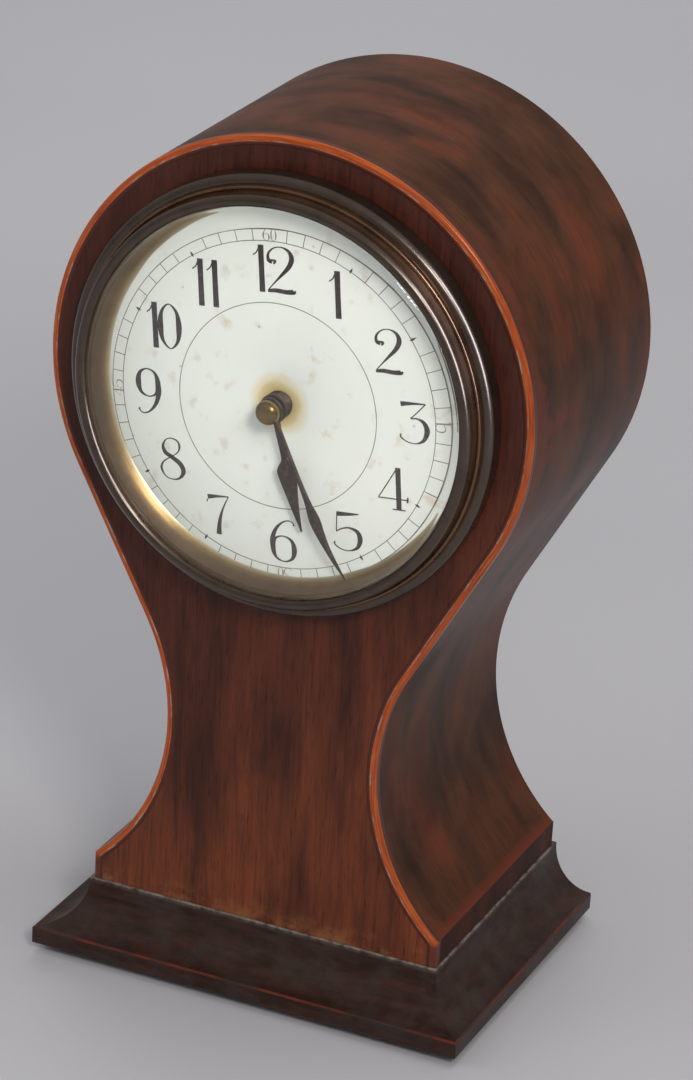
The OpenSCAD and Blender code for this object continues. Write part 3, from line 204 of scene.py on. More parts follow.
def half_outline(inset, to_base):
    """Right half of the case outline, inset from its face: head arc, tangent, hollow arc, fillet."""
    waist_r = WAIST_R + inset
    corner = math.acos((WAIST_X - FOOT_HALF + inset) / waist_r)
    end = math.pi + (corner if to_base else math.asin((WAIST_Z - FILLET_Z) / waist_r))
    head = arc((0, HEAD_Z), HEAD_R - inset, math.pi / 2, TANGENT, 64)
    hollow = arc((WAIST_X, WAIST_Z), waist_r, math.pi + TANGENT, end, 44)
    share = np.linspace(0, 1, 14)[1:-1, None]
    parts = [head, head[-1] + (hollow[0] - head[-1]) * share, hollow]
    if to_base:
        foot = np.array([FOOT_HALF - inset, BASE_Z])
        share = np.linspace(0, 1, 5)[1:, None]
        parts.append(hollow[-1] + (foot - hollow[-1]) * share)
    return np.vstack(parts)


def rim_sweep(section, to_base):
    """Carries a section of (inset, y) points along the outline, from the left foot to the right one.

    Every section point follows its own inset outline. Returns the surface and, for its UV map,
    each point's distance along the outer outline and its place round the section.
    """
    rows = []
    for inset, y in section:
        right = half_outline(inset, to_base)
        line = np.vstack([right[:0:-1] * (-1, 1), right])
        rows.append(np.stack([line[:, 0], np.full(len(line), y), line[:, 1]], -1))
    rows = np.stack(rows, 1)
    outer = rows[:, np.argmin([inset for inset, _ in section])]
    along = np.r_[0, np.cumsum(np.linalg.norm(np.diff(outer, axis=0), axis=1))]
    section = np.asarray(section, float)
    across = np.r_[0, np.cumsum(np.linalg.norm(np.diff(section, axis=0), axis=1))]
    uv = np.stack(np.meshgrid(along, across, indexing="ij"), -1)
    return skin(rows), uv.reshape(-1, 2) * MM


def smooth_path(points, n, closed=False):
    """n points on a Catmull-Rom curve through the given ones, all columns alike."""
    p = np.asarray(points, float)
    p = np.vstack([p[-1:], p, p[:2]]) if closed else np.vstack([2 * p[0] - p[1], p, 2 * p[-1] - p[-2]])
    spans = len(p) - 3
    t = np.linspace(0, spans, n, endpoint=not closed)
    k = np.minimum(t.astype(int), spans - 1)
    f = (t - k)[:, None]
    a, b, c, d = p[k], p[k + 1], p[k + 2], p[k + 3]
    return 0.5 * (2 * b + (c - a) * f + (2 * a - 5 * b + 4 * c - d) * f ** 2
                  + (3 * b - a - 3 * c + d) * f ** 3)


def ribbon(path, low, high, closed=False):
    """A flat brush stroke: (x, v, half width) points on the dial, made a thin bar from low to high.

    Each section is a rectangle set square to the path, in the dial's plane.
    """
    centre, half = path[:, :2], np.maximum(path[:, 2:], 0.02)
    if closed:
        tangent = np.roll(centre, -1, 0) - np.roll(centre, 1, 0)
    else:
        tangent = np.gradient(centre, axis=0)
    tangent /= np.maximum(np.linalg.norm(tangent, axis=1, keepdims=True), 1e-9)
    side = np.stack([-tangent[:, 1], tangent[:, 0]], -1) * half
    edges = np.stack([centre + side, centre - side, centre - side, centre + side], 1)
    w = np.array([high, high, low, low]) + np.zeros((len(path), 1))
    rows = np.stack([edges[..., 0], -w, edges[..., 1] + AXIS_Z], -1)
    return skin(rows, ring=closed)


def slotted_screws(spots, head, shank, levels):
    """Screws that run along Y: a round shank, and a domed head in two halves with a slot between them.

    Each half is a stack of D-shaped outlines, upright as far as the cheek, that draw in towards the crown
    by a quarter ellipse. spots gives each screw's x, z and slot angle, head its radius and slot width,
    shank its radius, and levels the w of its tip, its seat and its crown.
    """
    tip, seat, crown = levels
    r, slot = head
    point, spare, cheek = 0.6, 0.05, seat + 0.4 * (crown - seat)
    climb = np.r_[0, np.linspace(0, 1, 8)[1:] * 0.75]
    core = [(0, tip), (shank, tip - point), (shank, seat), (r - spare, seat), (r - spare, cheek), (0, cheek)]
    made = []
    for x, z, turn in spots:
        made.append(lathe(core, (x, z), steps=32, loop=False))
        for half in (0, math.pi):
            rows = []
            for share in climb:
                wide = r * math.sqrt(1 - share ** 2)
                open_at = math.asin(slot / 2 / wide)
                edge = arc((x, z), wide, turn + half + open_at, turn + half + math.pi - open_at, 20)
                level = cheek + (crown - cheek) * share / climb[-1] if share else seat
                rows.append(np.column_stack([edge[:, 0], np.full(len(edge), -level), edge[:, 1]]))
            made.append(skin(np.stack(rows)))
    return made


def piece(name, surfaces, material, body, stands_for=(), uv=None, sharp=35.0):
    """One object from surfaces in millimetres, with seams merged and faces turned outwards."""
    starts = np.cumsum([0] + [len(points) for points, _ in surfaces])
    points = np.vstack([points for points, _ in surfaces])
    faces = [[int(start) + i for i in face] for start, (_, part) in zip(starts, surfaces) for face in part]
    mesh = bpy.data.meshes.new(name)
    mesh.from_pydata((points * MM).tolist(), [], faces)
    if uv is not None:
        corner = np.empty(len(mesh.loops), dtype=np.int32)
        mesh.loops.foreach_get("vertex_index", corner)
        mesh.uv_layers.new(name="UVMap").data.foreach_set("uv", uv[corner].ravel())
    work = bmesh.new()
    work.from_mesh(mesh)
    bmesh.ops.remove_doubles(work, verts=work.verts, dist=2e-7)
    loose = [edge for edge in work.edges if not edge.link_faces]
    bmesh.ops.delete(work, geom=loose, context="EDGES")
    bmesh.ops.recalc_face_normals(work, faces=work.faces)
    work.to_mesh(mesh)
    work.free()
    mesh.shade_smooth()
    mesh.set_sharp_from_angle(angle=math.radians(sharp))
    mesh.materials.append(material)
    made = bpy.data.objects.new(name, mesh)
    bpy.context.scene.collection.objects.link(made)
    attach(made, body)
    if stands_for:
        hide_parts(*stands_for)
    return made


def finish_nodes(names, material):
    """Gives CAD nodes that stay in view their material."""
    for name in names:
        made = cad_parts[name]
        if not made.material_slots:
            made.data.materials.append(material)
        for place in made.material_slots:
            place.material = material


# Materials


# A Mix node of colours takes its share at socket 0 and the two colours at sockets 6 and 7
BLEND = {"data_type": "RGBA"}
GLAZE = {"data_type": "RGBA", "blend_type": "MULTIPLY"}


def plug(tree, value, socket):
    """Sets a socket to a plain value, or links it to another socket or to a node's first live output."""
    if isinstance(value, bpy.types.Node):
        value = next(out for out in value.outputs if out.enabled)
    if isinstance(value, bpy.types.NodeSocket):
        tree.links.new(value, socket)
    else:
        socket.default_value = value


def add(tree, kind, inputs=None, stops=(), **settings):
    """Adds a node: its settings, its inputs as values or as what feeds them, and a ramp's stops."""
    made = tree.nodes.new("ShaderNode" + kind)
    for name, value in settings.items():
        setattr(made, name, value)
    for key, value in (inputs or {}).items():
        plug(tree, value, made.inputs[key])
    if stops:
        ramp = made.color_ramp
        ramp.elements[0].position, ramp.elements[1].position = stops[0][0], stops[-1][0]
        for place, _ in stops[1:-1]:
            ramp.elements.new(place)
        for element, (_, colour) in zip(ramp.elements, stops):
            element.color = colour if len(colour) == 4 else linear(colour)
    return made


def start_material(name):
    """A fresh material with one shader, and its tree, shader and Object coordinates."""
    if name in bpy.data.materials:
        bpy.data.materials.remove(bpy.data.materials[name])
    made = bpy.data.materials.new(name)
    made.use_nodes = True
    tree = made.node_tree
    return made, tree, tree.nodes["Principled BSDF"], add(tree, "TexCoord").outputs["Object"]


def feed(tree, shader, gloss=None, relief=None, **sockets):
    """Feeds the shader's own sockets with nodes or plain values. Underscores stand for spaces.

    gloss gives a noise and the least and most roughness that follow it, relief a noise, its strength
    and its depth in millimetres.
    """
    if gloss:
        noise, least, most = gloss
        sockets["Roughness"] = add(tree, "MapRange", {"Value": noise, "To Min": least, "To Max": most})
    if relief:
        noise, strength, depth = relief
        sockets["Normal"] = add(tree, "Bump", {"Height": noise, "Strength": strength, "Distance": depth * MM})
    for key, value in sockets.items():
        plug(tree, value, shader.inputs[key.replace("_", " ")])


def greys(*stops):
    """Ramp stops from places and grey values."""
    return [(place, (value, value, value, 1.0)) for place, value in stops]


def mottle(tree, place, blot, detail, rough, twist=0.0):
    """Cloudy noise whose patches measure blot millimetres, or a size along each axis for a grain."""
    across = (blot,) * 3 if isinstance(blot, (int, float)) else blot
    scaled = add(tree, "Mapping", {"Vector": place, "Scale": [1 / (width * MM) for width in across]})
    return add(tree, "TexNoise", {"Vector": scaled, "Scale": 1.0, "Detail": detail, "Roughness": rough,
                                  "Distortion": twist})


def glazed(tree, colour, share, noise, *stops):
    """A colour darkened or lifted by a noise, through grey stops and by the given share."""
    tone = add(tree, "ValToRGB", {"Fac": noise}, greys(*stops))
    return add(tree, "Mix", {0: share, 6: colour, 7: tone}, **GLAZE)


def patched(tree, colour, other, value, start, end, most=1.0, within=None):
    """Lets another colour through as a value goes from start to end, up to the share called most.

    within is a second share that holds the other colour to one place.
    """
    share = add(tree, "MapRange", {"Value": value, "From Min": start, "From Max": end, "To Max": most})
    if within is not None:
        share = add(tree, "Math", {0: within, 1: share}, operation="MULTIPLY")
    return add(tree, "Mix", {0: share, 6: colour, 7: other}, **BLEND)


def banded(tree, distance, start, end, stops):
    """Ramp colours laid out between two distances in millimetres."""
    share = add(tree, "MapRange", {"Value": distance, "From Min": start * MM, "From Max": end * MM})
    return add(tree, "ValToRGB", {"Fac": share}, stops)


def radius_about(tree, place, height):
    """Distance of each point from an axis that runs from back to front at the given height."""
    centred = add(tree, "VectorMath", {0: place, 1: (0.0, 0.0, height * MM)}, operation="SUBTRACT")
    flat = add(tree, "VectorMath", {0: centred, 1: (1.0, 0.0, 1.0)}, operation="MULTIPLY")
    return add(tree, "VectorMath", {0: flat}, operation="LENGTH").outputs["Value"]


def one_noise(name, blot, stops, gloss=None, bump=None, **sockets):
    """A material whose single noise sets its colour and, where asked for, its gloss and its relief.

    blot gives the noise's size and detail as mottle takes them, gloss and bump what feed takes after it.
    """
    made, tree, shader, place = start_material(name)
    noise = mottle(tree, place, *blot)
    sockets["Base_Color"] = add(tree, "ValToRGB", {"Fac": noise}, stops)
    feed(tree, shader, gloss and (noise, *gloss), bump and (noise, *bump), **sockets)
    return made


def polished_mahogany(colours):
    """Flat-sawn mahogany, stained and French polished: upright grain, short dark pores, soft dark bands.

    Paler and redder towards the foot and the right, painted light on the lit lower right of the board,
    and rubbed to a golden brown along the very foot.
    """
    made, tree, shader, place = start_material("mahogany_french_polished")
    streak = mottle(tree, place, (0.8, 6, 17), 5.0, 0.6, 0.3)
    figure = mottle(tree, place, (12, 20, 46), 4.0, 0.55, 0.2)
    pore = mottle(tree, place, (0.45, 3, 5), 2.0, 0.5)
    rub = mottle(tree, place, 6, 5.0, 0.7)
    part = add(tree, "SeparateXYZ", {"Vector": place})
    # Painted light: the board turns paler and redder towards its lower right, where it is lit
    painted_light_slope = add(tree, "Math", {0: part.outputs["X"], 1: -0.8, 2: part.outputs["Z"]}, operation="MULTIPLY_ADD")
    base = patched(tree, shade(colours, "board"), shade(colours, "board_warm"), painted_light_slope, 125 * MM, 20 * MM, 0.75)
    clouded = patched(tree, base, shade(colours, "board_dark"), figure, 0.4, 0.68, 0.78)
    lined = glazed(tree, clouded, 0.65, streak, (0.3, 0.5), (0.5, 1.0), (0.72, 1.3))
    speck = add(tree, "ValToRGB", {"Fac": pore}, greys((0.3, 0.35), (0.4, 1.0)))
    pored = add(tree, "Mix", {0: 0.6, 6: lined, 7: speck}, **GLAZE)
    foot = add(tree, "MapRange", {"Value": part.outputs["Z"], "From Min": (BASE_Z + 5.8) * MM,
                                  "From Max": (BASE_Z + 0.8) * MM})
    footed = patched(tree, pored, linear("#8a5a34"), rub, 0.45, 0.65, 0.7, within=foot)
    feed(tree, shader, (figure, 0.28, 0.42), (speck, 0.12, 0.05), Base_Color=footed, IOR=1.5,
         Specular_IOR_Level=0.22, Coat_Weight=0.06, Coat_Roughness=0.2)
    return made


def figured_veneer(colours):
    """Knife-cut mahogany veneer laid round the rim and polished: soft dark and red clouds and fine fibres.

    Its UV map runs along the outline and across the depth, in metres, so the figure follows the rim. The
    polish is rubbed red along the lowest edge, over the fillet, and in patches beside the stringing where
    the head is widest.
    """
    made, tree, shader, solid = start_material("mahogany_veneer_polished")
    place = add(tree, "UVMap", uv_map="UVMap")
    streak = mottle(tree, place, (38, 15, 1), 3.0, 0.5, 0.2)
    fibre = mottle(tree, place, (14, 0.9, 1), 4.0, 0.6)
    patch = mottle(tree, place, (22, 17, 1), 4.0, 0.6, 0.2)
    body = add(tree, "ValToRGB", {"Fac": streak},
               [(0.25, shade(colours, "veneer_dark")), (0.5, shade(colours, "veneer")),
                (0.78, shade(colours, "veneer_warm"))])
    redder = patched(tree, body, shade(colours, "veneer_warm"), patch, 0.56, 0.7, 0.5)
    dusky = glazed(tree, redder, 0.8, patch, (0.34, 0.5), (0.52, 1.0), (0.75, 1.15))
    lined = glazed(tree, dusky, 0.7, fibre, (0.32, 0.68), (0.5, 1.0), (0.7, 1.15))
    part = add(tree, "SeparateXYZ", {"Vector": solid})
    edge = add(tree, "MapRange", {"Value": part.outputs["Z"], "From Min": (FILLET_Z + 2.2) * MM,
                                  "From Max": (FILLET_Z + 0.4) * MM, "To Max": 0.75})
    wide = add(tree, "MapRange", {"Value": part.outputs["X"], "From Min": 48 * MM, "From Max": 60 * MM})
    near = add(tree, "MapRange", {"Value": part.outputs["Y"], "From Min": -12 * MM, "From Max": -34 * MM})
    held = add(tree, "Math", {0: wide, 1: near}, operation="MULTIPLY")
    chips = mottle(tree, solid, 16, 6.0, 0.6)
    gone = add(tree, "Math", {0: held, 1: 0.3, 2: chips}, operation="MULTIPLY_ADD")
    bare = add(tree, "MapRange", {"Value": gone, "From Min": 0.7, "From Max": 0.74, "To Max": 0.5})
    either = add(tree, "Math", {0: edge, 1: bare}, operation="MAXIMUM")
    rubbed = add(tree, "Mix", {0: either, 6: lined, 7: shade(colours, "worn")}, **BLEND)
    feed(tree, shader, (fibre, 0.3, 0.48), (fibre, 0.1, 0.08), Base_Color=rubbed, IOR=1.5,
         Specular_IOR_Level=0.09, Coat_Weight=0.03, Coat_Roughness=0.22)
    return made


def stained_stringing(colours):
    """Straight-grained boxwood line, stained and polished: bright on the arris, with a pale worn inner edge.

    Dark polish has run over its side, its inner margin and the short upright at the foot. The UV map's
    second number is the distance round the section, so each band keeps to its edge.
    """
    made, tree, shader, solid = start_material("boxwood_stringing_polished")
    place = add(tree, "UVMap", uv_map="UVMap")
    fibre = mottle(tree, place, (12, 0.5, 1), 3.0, 0.6)
    wear = mottle(tree, place, (7, 1.5, 1), 4.0, 0.65)
    tone = add(tree, "ValToRGB", {"Fac": fibre},
               [(0.3, "#7e3210"), (0.5, shade(colours, "stringing")), (0.75, "#c06828")])
    across = add(tree, "SeparateXYZ", {"Vector": place}).outputs["Y"]
    edge = add(tree, "MapRange", {"Value": across, "From Min": 5.8 * MM, "From Max": 5.9 * MM})
    worn = patched(tree, tone, linear("#a58c7c"), wear, 0.5, 0.62, within=edge)
    side = banded(tree, across, 0.0, 7.0, greys((0.54, 1.0), (0.6, 0.0), (0.885, 0.0), (0.905, 1.0)))
    height = add(tree, "SeparateXYZ", {"Vector": solid}).outputs["Z"]
    foot = add(tree, "MapRange", {"Value": height, "From Min": FILLET_Z * MM,
                                  "From Max": (FILLET_Z - 1.5) * MM, "To Max": 0.85})
    hidden = add(tree, "Math", {0: side, 1: foot}, operation="MAXIMUM")
    kept = add(tree, "Mix", {0: hidden, 6: worn, 7: shade(colours, "board")}, **BLEND)
    feed(tree, shader, Base_Color=kept, Roughness=0.3, IOR=1.5, Specular_IOR_Level=0.3, Coat_Weight=0.1,
         Coat_Roughness=0.15)
    return made


def ebonised_moulding(colours):
    """Hardwood stained black and waxed: near-black brown, rubbed red on its edges, with a dull grey film.

    Dust lies where the attribute of that name says so, and in single flecks elsewhere.
    """
    made, tree, shader, place = start_material("hardwood_ebonised_waxed")
    fibre = mottle(tree, place, (9, 9, 1.5), 5.0, 0.6)
    dust = mottle(tree, place, 9, 4.0, 0.7)
    fleck = mottle(tree, place, 2.4, 5.0, 0.75)
    tone = add(tree, "ValToRGB", {"Fac": fibre},
               [(0.3, "#261712"), (0.52, shade(colours, "plinth")), (0.75, "#432720")])
    rub = add(tree, "Attribute", attribute_name="wear").outputs["Fac"]
    worn = patched(tree, tone, shade(colours, "worn"), dust, 0.4, 0.62, within=rub)
    filmed = patched(tree, worn, linear("#3c3834"), dust, 0.58, 0.38, 0.38)
    lies = add(tree, "Attribute", attribute_name="dust").outputs["Fac"]
    loose = add(tree, "MapRange", {"Value": fleck, "From Min": 0.35, "From Max": 0.6})
    spot = add(tree, "MapRange", {"Value": fleck, "From Min": 0.68, "From Max": 0.76, "To Max": 0.45})
    heap = add(tree, "Math", {0: lies, 1: loose, 2: spot}, operation="MULTIPLY_ADD", use_clamp=True)
    dusty = add(tree, "Mix", {0: heap, 6: filmed, 7: linear("#857c74")}, **BLEND)
    feed(tree, shader, (dust, 0.3, 0.5), (fibre, 0.12, 0.1), Base_Color=dusty, IOR=1.5,
         Specular_IOR_Level=0.18)
    return made


def plain_wood(name, dark, mid, pale):
    """Sawn and scraped softwood or mahogany without polish: plain long grain, matt."""
    return one_noise(name, ((2.2, 12, 40), 6.0, 0.62, 0.8), [(0.3, dark), (0.5, mid), (0.72, pale)],
                     bump=(0.25, 0.1), Roughness=0.62, IOR=1.5, Specular_IOR_Level=0.2)


def patinated_bezel(colours):
    """Turned brass, darkened with age: bronze-brown and glossy, coppery in the hollow between the beads."""
    made, tree, shader, place = start_material("brass_patinated_turned")
    radius, bronze = radius_about(tree, place, HEAD_Z), shade(colours, "bronze")
    tone = banded(tree, radius, 49, 57,
                  [(0.0, "#5b4633"), (0.16, bronze), (0.40, bronze), (0.46, "#5c4230"), (0.52, "#694a33"),
                   (0.545, "#8d6c44"), (0.565, "#5c432f"), (0.63, "#72523a"), (0.66, bronze), (0.9, bronze),
                   (1.0, "#2b2420")])
    stain = mottle(tree, place, 7, 5.0, 0.65)
    mixed = glazed(tree, tone, 0.7, stain, (0.3, 0.6), (0.5, 1.0), (0.72, 1.25))
    cut = add(tree, "TexNoise", {"W": radius, "Scale": 1 / (0.2 * MM), "Detail": 2.0}, noise_dimensions="1D")
    feed(tree, shader, (stain, 0.2, 0.38), (cut, 0.08, 0.03), Base_Color=mixed, Metallic=0.8,
         Coat_Weight=0.6, Coat_Roughness=0.2)
    return made


def bright_brass(name, colour, rough, tarnish=0.35, patch=5.0, turned=False):
    """Cast or rolled brass, filed or turned, and lacquered: warm gold, browned in soft patches.

    patch is the width of the patches in millimetres. Turned brass has fine rings about the case's axis,
    drawn half a millimetre apart so that they show.
    """
    made, tree, shader, place = start_material(name)
    stain = mottle(tree, place, patch, 4.0, 0.6)
    if turned:
        fine = add(tree, "TexNoise", {"W": radius_about(tree, place, HEAD_Z), "Scale": 1 / (0.5 * MM),
                                      "Detail": 3.0, "Roughness": 0.7}, noise_dimensions="1D")
    else:
        fine = mottle(tree, place, 0.6, 3.0, 0.6)
    toned = glazed(tree, colour, 1.0, stain, (0.35, 1.0 - tarnish), (0.6, 1.0))
    feed(tree, shader, (fine, rough - 0.06, rough + 0.06), (fine, 0.06, 0.02), Base_Color=toned, Metallic=1.0)
    return made


def gilded_sight_ring(colours):
    """Gilded brass, turned: pale and bright beside the white dial, a painted reflection of the dial, browned
    and mottled towards the glass.
    """
    made, tree, shader, place = start_material("brass_sight_ring_gilded_painted_reflection")
    # The pale cream stops beside the dial are a painted reflection of the white enamel in the ring's cone
    tone = banded(tree, radius_about(tree, place, HEAD_Z), RING_R, SIGHT_R,
                  [(0.0, "#d8cfb6"), (0.1, "#b5a27c"), (0.25, "#8f744c"), (0.45, shade(colours, "sight")),
                   (1.0, "#5f472f")])
    stain = mottle(tree, place, 4, 5.0, 0.65)
    mixed = glazed(tree, tone, 1.0, stain, (0.35, 0.85), (0.6, 1.0))
    feed(tree, shader, (stain, 0.26, 0.36), Base_Color=mixed, Metallic=0.9)
    return made


def filed_steel(name, stops, gloss, grit=(0.8, 4.0, 0.65), bump=(0.06, 0.02), metallic=1.0):
    """Drawn and filed steel, bright, blued or aged to brown: scratches or rust break up its shine."""
    return one_noise(name, grit, stops, gloss, bump, Metallic=metallic)


def fired_enamel(colours):
    """White vitreous enamel fired on copper: smooth and glossy, oil-stained at the centre, faint rust."""
    made, tree, shader, place = start_material("enamel_fired")
    soft = mottle(tree, place, 14, 4.0, 0.6)
    blot = mottle(tree, place, 6, 5.0, 0.65)
    speck = add(tree, "TexVoronoi", {"Vector": place, "Scale": 1 / (9 * MM)}).outputs["Distance"]
    wobble = add(tree, "Math", {0: soft, 1: 4 * MM, 2: radius_about(tree, place, AXIS_Z)},
                 operation="MULTIPLY_ADD")
    halo = banded(tree, wobble, 5.5, 10.5,
                  [(0.0, "#c9b27e"), (0.3, "#d8c594"), (0.5, "#e6dcbe"), (1.0, shade(colours, "enamel"))])
    rusted = patched(tree, halo, linear("#cdb592"), blot, 0.58, 0.76, 0.6)
    dotted = patched(tree, rusted, linear("#8f7a5e"), speck, 0.05, 0.028, 0.45)
    feed(tree, shader, relief=(soft, 0.03, 0.2), Base_Color=dotted, Roughness=0.22, IOR=1.5)
    return made


def dial_paint(name, grit, stops):
    """Fired black paint, thin and rubbed: brown-black, paler and greyer the finer the lines are."""
    return one_noise(name, grit, stops, Roughness=0.35, IOR=1.5)


def polished_glass():
    """Crown glass, blown to a dome, ground and polished: hardly tinted, its bevel bends what lies behind."""
    return one_noise("glass_polished", (30, 2.0, 0.5), [(0.3, "#f8fcf9"), (0.7, "#fdfefd")],
                     Roughness=0.0, IOR=1.5, Transmission_Weight=1.0)


def pale_floor(colours):
    """Seamless paper: flat, pale, with only the slightest cloud in its tone."""
    return one_noise("floor_paper", (500, 2.0, 0.5), [(0.3, shade(colours, "floor")), (0.8, "#bababe")],
                     Roughness=0.85)


# Numerals


# Strokes of (x, y, half width) points in units of the numeral's height, on a baseline at 0.
# A closed stroke is a loop. Thick strokes and hairlines follow the old pointed-pen style.
HAIR = 0.014
STROKES = {
    "0": [(True, [(-0.165, 0.5, 0.066), (-0.13, 0.82, 0.036), (0, 0.985, HAIR), (0.13, 0.82, 0.036),
                  (0.165, 0.5, 0.066), (0.13, 0.18, 0.036), (0, 0.015, HAIR), (-0.13, 0.18, 0.036)])],
    "1": [(False, [(0, 0, 0.064), (0, 0.5, 0.06), (0, 1, 0.064)]),
          (False, [(-0.04, 0.93, HAIR), (-0.08, 0.83, HAIR), (-0.14, 0.77, HAIR)])],
    "2": [(False, [(-0.14, 0.66, 0.05), (-0.205, 0.7, 0.04), (-0.2, 0.84, 0.026), (-0.1, 0.96, HAIR),
                   (0.03, 0.985, HAIR), (0.15, 0.91, 0.036), (0.195, 0.76, 0.056), (0.14, 0.58, 0.05),
                   (0.0, 0.38, 0.03), (-0.13, 0.2, HAIR), (-0.22, 0.07, HAIR)]),
          (False, [(-0.12, 0.62, 0.02), (-0.09, 0.68, 0.03), (-0.14, 0.7, 0.02)]),
          (False, [(-0.235, 0.035, 0.03), (-0.1, 0.06, 0.045), (0.08, 0.045, 0.048), (0.2, 0.06, 0.055),
                   (0.21, 0.075, 0.05)])],
    "3": [(False, [(-0.19, 0.93, 0.062), (-0.12, 0.945, 0.05), (0.02, 0.965, 0.028), (0.2, 0.975, HAIR)]),
          (False, [(0.2, 0.975, HAIR), (0.08, 0.78, HAIR), (-0.04, 0.6, HAIR)]),
          (False, [(-0.04, 0.6, HAIR), (0.07, 0.61, 0.02), (0.17, 0.53, 0.048), (0.215, 0.34, 0.066),
                   (0.16, 0.12, 0.042), (0.04, 0.02, HAIR), (-0.1, 0.04, HAIR), (-0.2, 0.14, 0.018),
                   (-0.2, 0.22, 0.022)])],
    "4": [(False, [(0.1, 0, 0.062), (0.1, 0.5, 0.062), (0.1, 1, 0.062)]),
          (False, [(0.08, 0.985, HAIR), (-0.1, 0.62, HAIR), (-0.28, 0.26, HAIR)]),
          (False, [(-0.28, 0.26, HAIR), (0.0, 0.26, HAIR), (0.26, 0.26, HAIR)]),
          (False, [(0.26, 0.2, 0.02), (0.265, 0.26, 0.024), (0.27, 0.33, 0.016)]),
          (False, [(-0.02, 0.012, HAIR), (0.1, 0.012, HAIR), (0.22, 0.012, HAIR)])],
    "5": [(False, [(-0.15, 0.93, 0.06), (-0.05, 0.94, 0.05), (0.08, 0.955, 0.034), (0.2, 0.975, HAIR)]),
          (False, [(-0.15, 0.98, HAIR), (-0.16, 0.72, HAIR), (-0.17, 0.48, HAIR)]),
          (False, [(-0.17, 0.48, HAIR), (-0.07, 0.57, 0.018), (0.05, 0.6, 0.024), (0.17, 0.52, 0.05),
                   (0.21, 0.33, 0.066), (0.16, 0.12, 0.042), (0.03, 0.02, HAIR), (-0.1, 0.04, HAIR),
                   (-0.2, 0.14, 0.018), (-0.2, 0.22, 0.022)])],
    "6": [(True, [(-0.165, 0.32, 0.06), (-0.12, 0.54, 0.028), (0.01, 0.61, HAIR), (0.14, 0.52, 0.036),
                  (0.18, 0.31, 0.064), (0.14, 0.1, 0.036), (0.01, 0.015, HAIR), (-0.12, 0.1, 0.03)]),
          (False, [(-0.165, 0.3, 0.06), (-0.17, 0.52, 0.058), (-0.11, 0.76, 0.04), (0.0, 0.93, 0.02),
                   (0.1, 0.985, HAIR), (0.17, 0.95, HAIR), (0.19, 0.88, 0.024)])],
    "7": [(False, [(-0.2, 0.93, 0.062), (-0.12, 0.945, 0.05), (0.02, 0.965, 0.03), (0.22, 0.98, HAIR)]),
          (False, [(0.22, 0.975, HAIR), (0.12, 0.72, 0.02), (0.045, 0.45, 0.038), (0.01, 0.2, 0.056),
                   (0.0, 0.0, 0.07)]),
          (False, [(-0.2, 0.87, HAIR), (-0.21, 0.84, HAIR), (-0.215, 0.8, HAIR)])],
    "8": [(True, [(0.0, 0.54, 0.05), (-0.11, 0.64, 0.05), (-0.145, 0.79, 0.034), (-0.09, 0.94, HAIR),
                  (0.01, 0.985, HAIR), (0.11, 0.93, 0.02), (0.14, 0.8, 0.026), (0.1, 0.66, HAIR),
                  (-0.03, 0.53, HAIR), (-0.15, 0.41, 0.018), (-0.19, 0.25, 0.028), (-0.12, 0.07, HAIR),
                  (0.0, 0.015, HAIR), (0.12, 0.06, 0.028), (0.19, 0.22, 0.056), (0.14, 0.4, 0.058)])],
}
TURNED_OVER = {"9": "6"}
WIDER = {"3": 1.2, "5": 1.25, "6": 1.15, "8": 1.1}
ADVANCE, DIGIT_W = {"0": 0.5, "1": 0.29}, 0.52
STRETCH = 1.3
SPREAD = {"10": 0.9, "11": 0.86, "12": 1.14}
# The print's place against the dial, how far paint is sunk in it and how far each stroke overlies the last
PRINT_AT, SUNK, OVERLAP = np.array([-0.6, -0.8]), 0.02, 0.0015
# Each hour's height against the mean, from one round to twelve, as a painter's hand varies, and how far
# some of them stand outside or inside the circle of numerals
HAND_DRAWN = (1.05, 1.0, 0.94, 0.96, 0.9, 0.98, 0.91, 0.97, 1.05, 1.03, 1.05, 1.04)
SET_OUT = {3: 1.2, 8: -0.8, 11: -0.6}


def digit_strokes(digit):
    """Strokes of one digit as arrays, some of them drawn wider; the nine is the six turned over."""
    if digit in TURNED_OVER:
        return [(closed, np.array(points) * (-1, -1, 1) + (0, 1, 0))
                for closed, points in STROKES[TURNED_OVER[digit]]]
    return [(closed, np.array(points) * (WIDER.get(digit, 1.0), 1, 1)) for closed, points in STROKES[digit]]


def dial_way(minute, sizes):
    """Unit vector from the middle of the dial towards a minute, on the turned dial."""
    turn = math.radians(minute * 6) - sizes.dial_turn
    return np.array([math.sin(turn), math.cos(turn)])


def write_number(number, height, centre, turn, paint):
    """Brush strokes of a number, set with its middle at centre and turned anticlockwise by turn.

    The digits stand side by side by their advance widths. Later strokes lie a hair higher, so that
    no two faces share a plane.
    """
    digits = str(number)
    stretch = STRETCH * SPREAD.get(digits, 1.0)
    advance = [stretch * ADVANCE.get(digit, DIGIT_W) for digit in digits]
    places = np.cumsum([0] + advance[:-1]) - sum(advance[:-1]) / 2
    turned = np.array([[math.cos(turn), math.sin(turn)], [-math.sin(turn), math.cos(turn)]])
    made = []
    for digit, x in zip(digits, places):
        for closed, points in digit_strokes(digit):
            path = smooth_path(points, 12 * len(points) if len(points) > 4 else 9, closed)
            path[:, :2] = ((path[:, :2] * (STRETCH, 1) + (x, -0.5)) * height) @ turned + centre
            path[:, 2] *= height
            made.append(ribbon(path, DIAL_W - SUNK, DIAL_W + paint + OVERLAP * len(made), closed))
    return made


# Operators


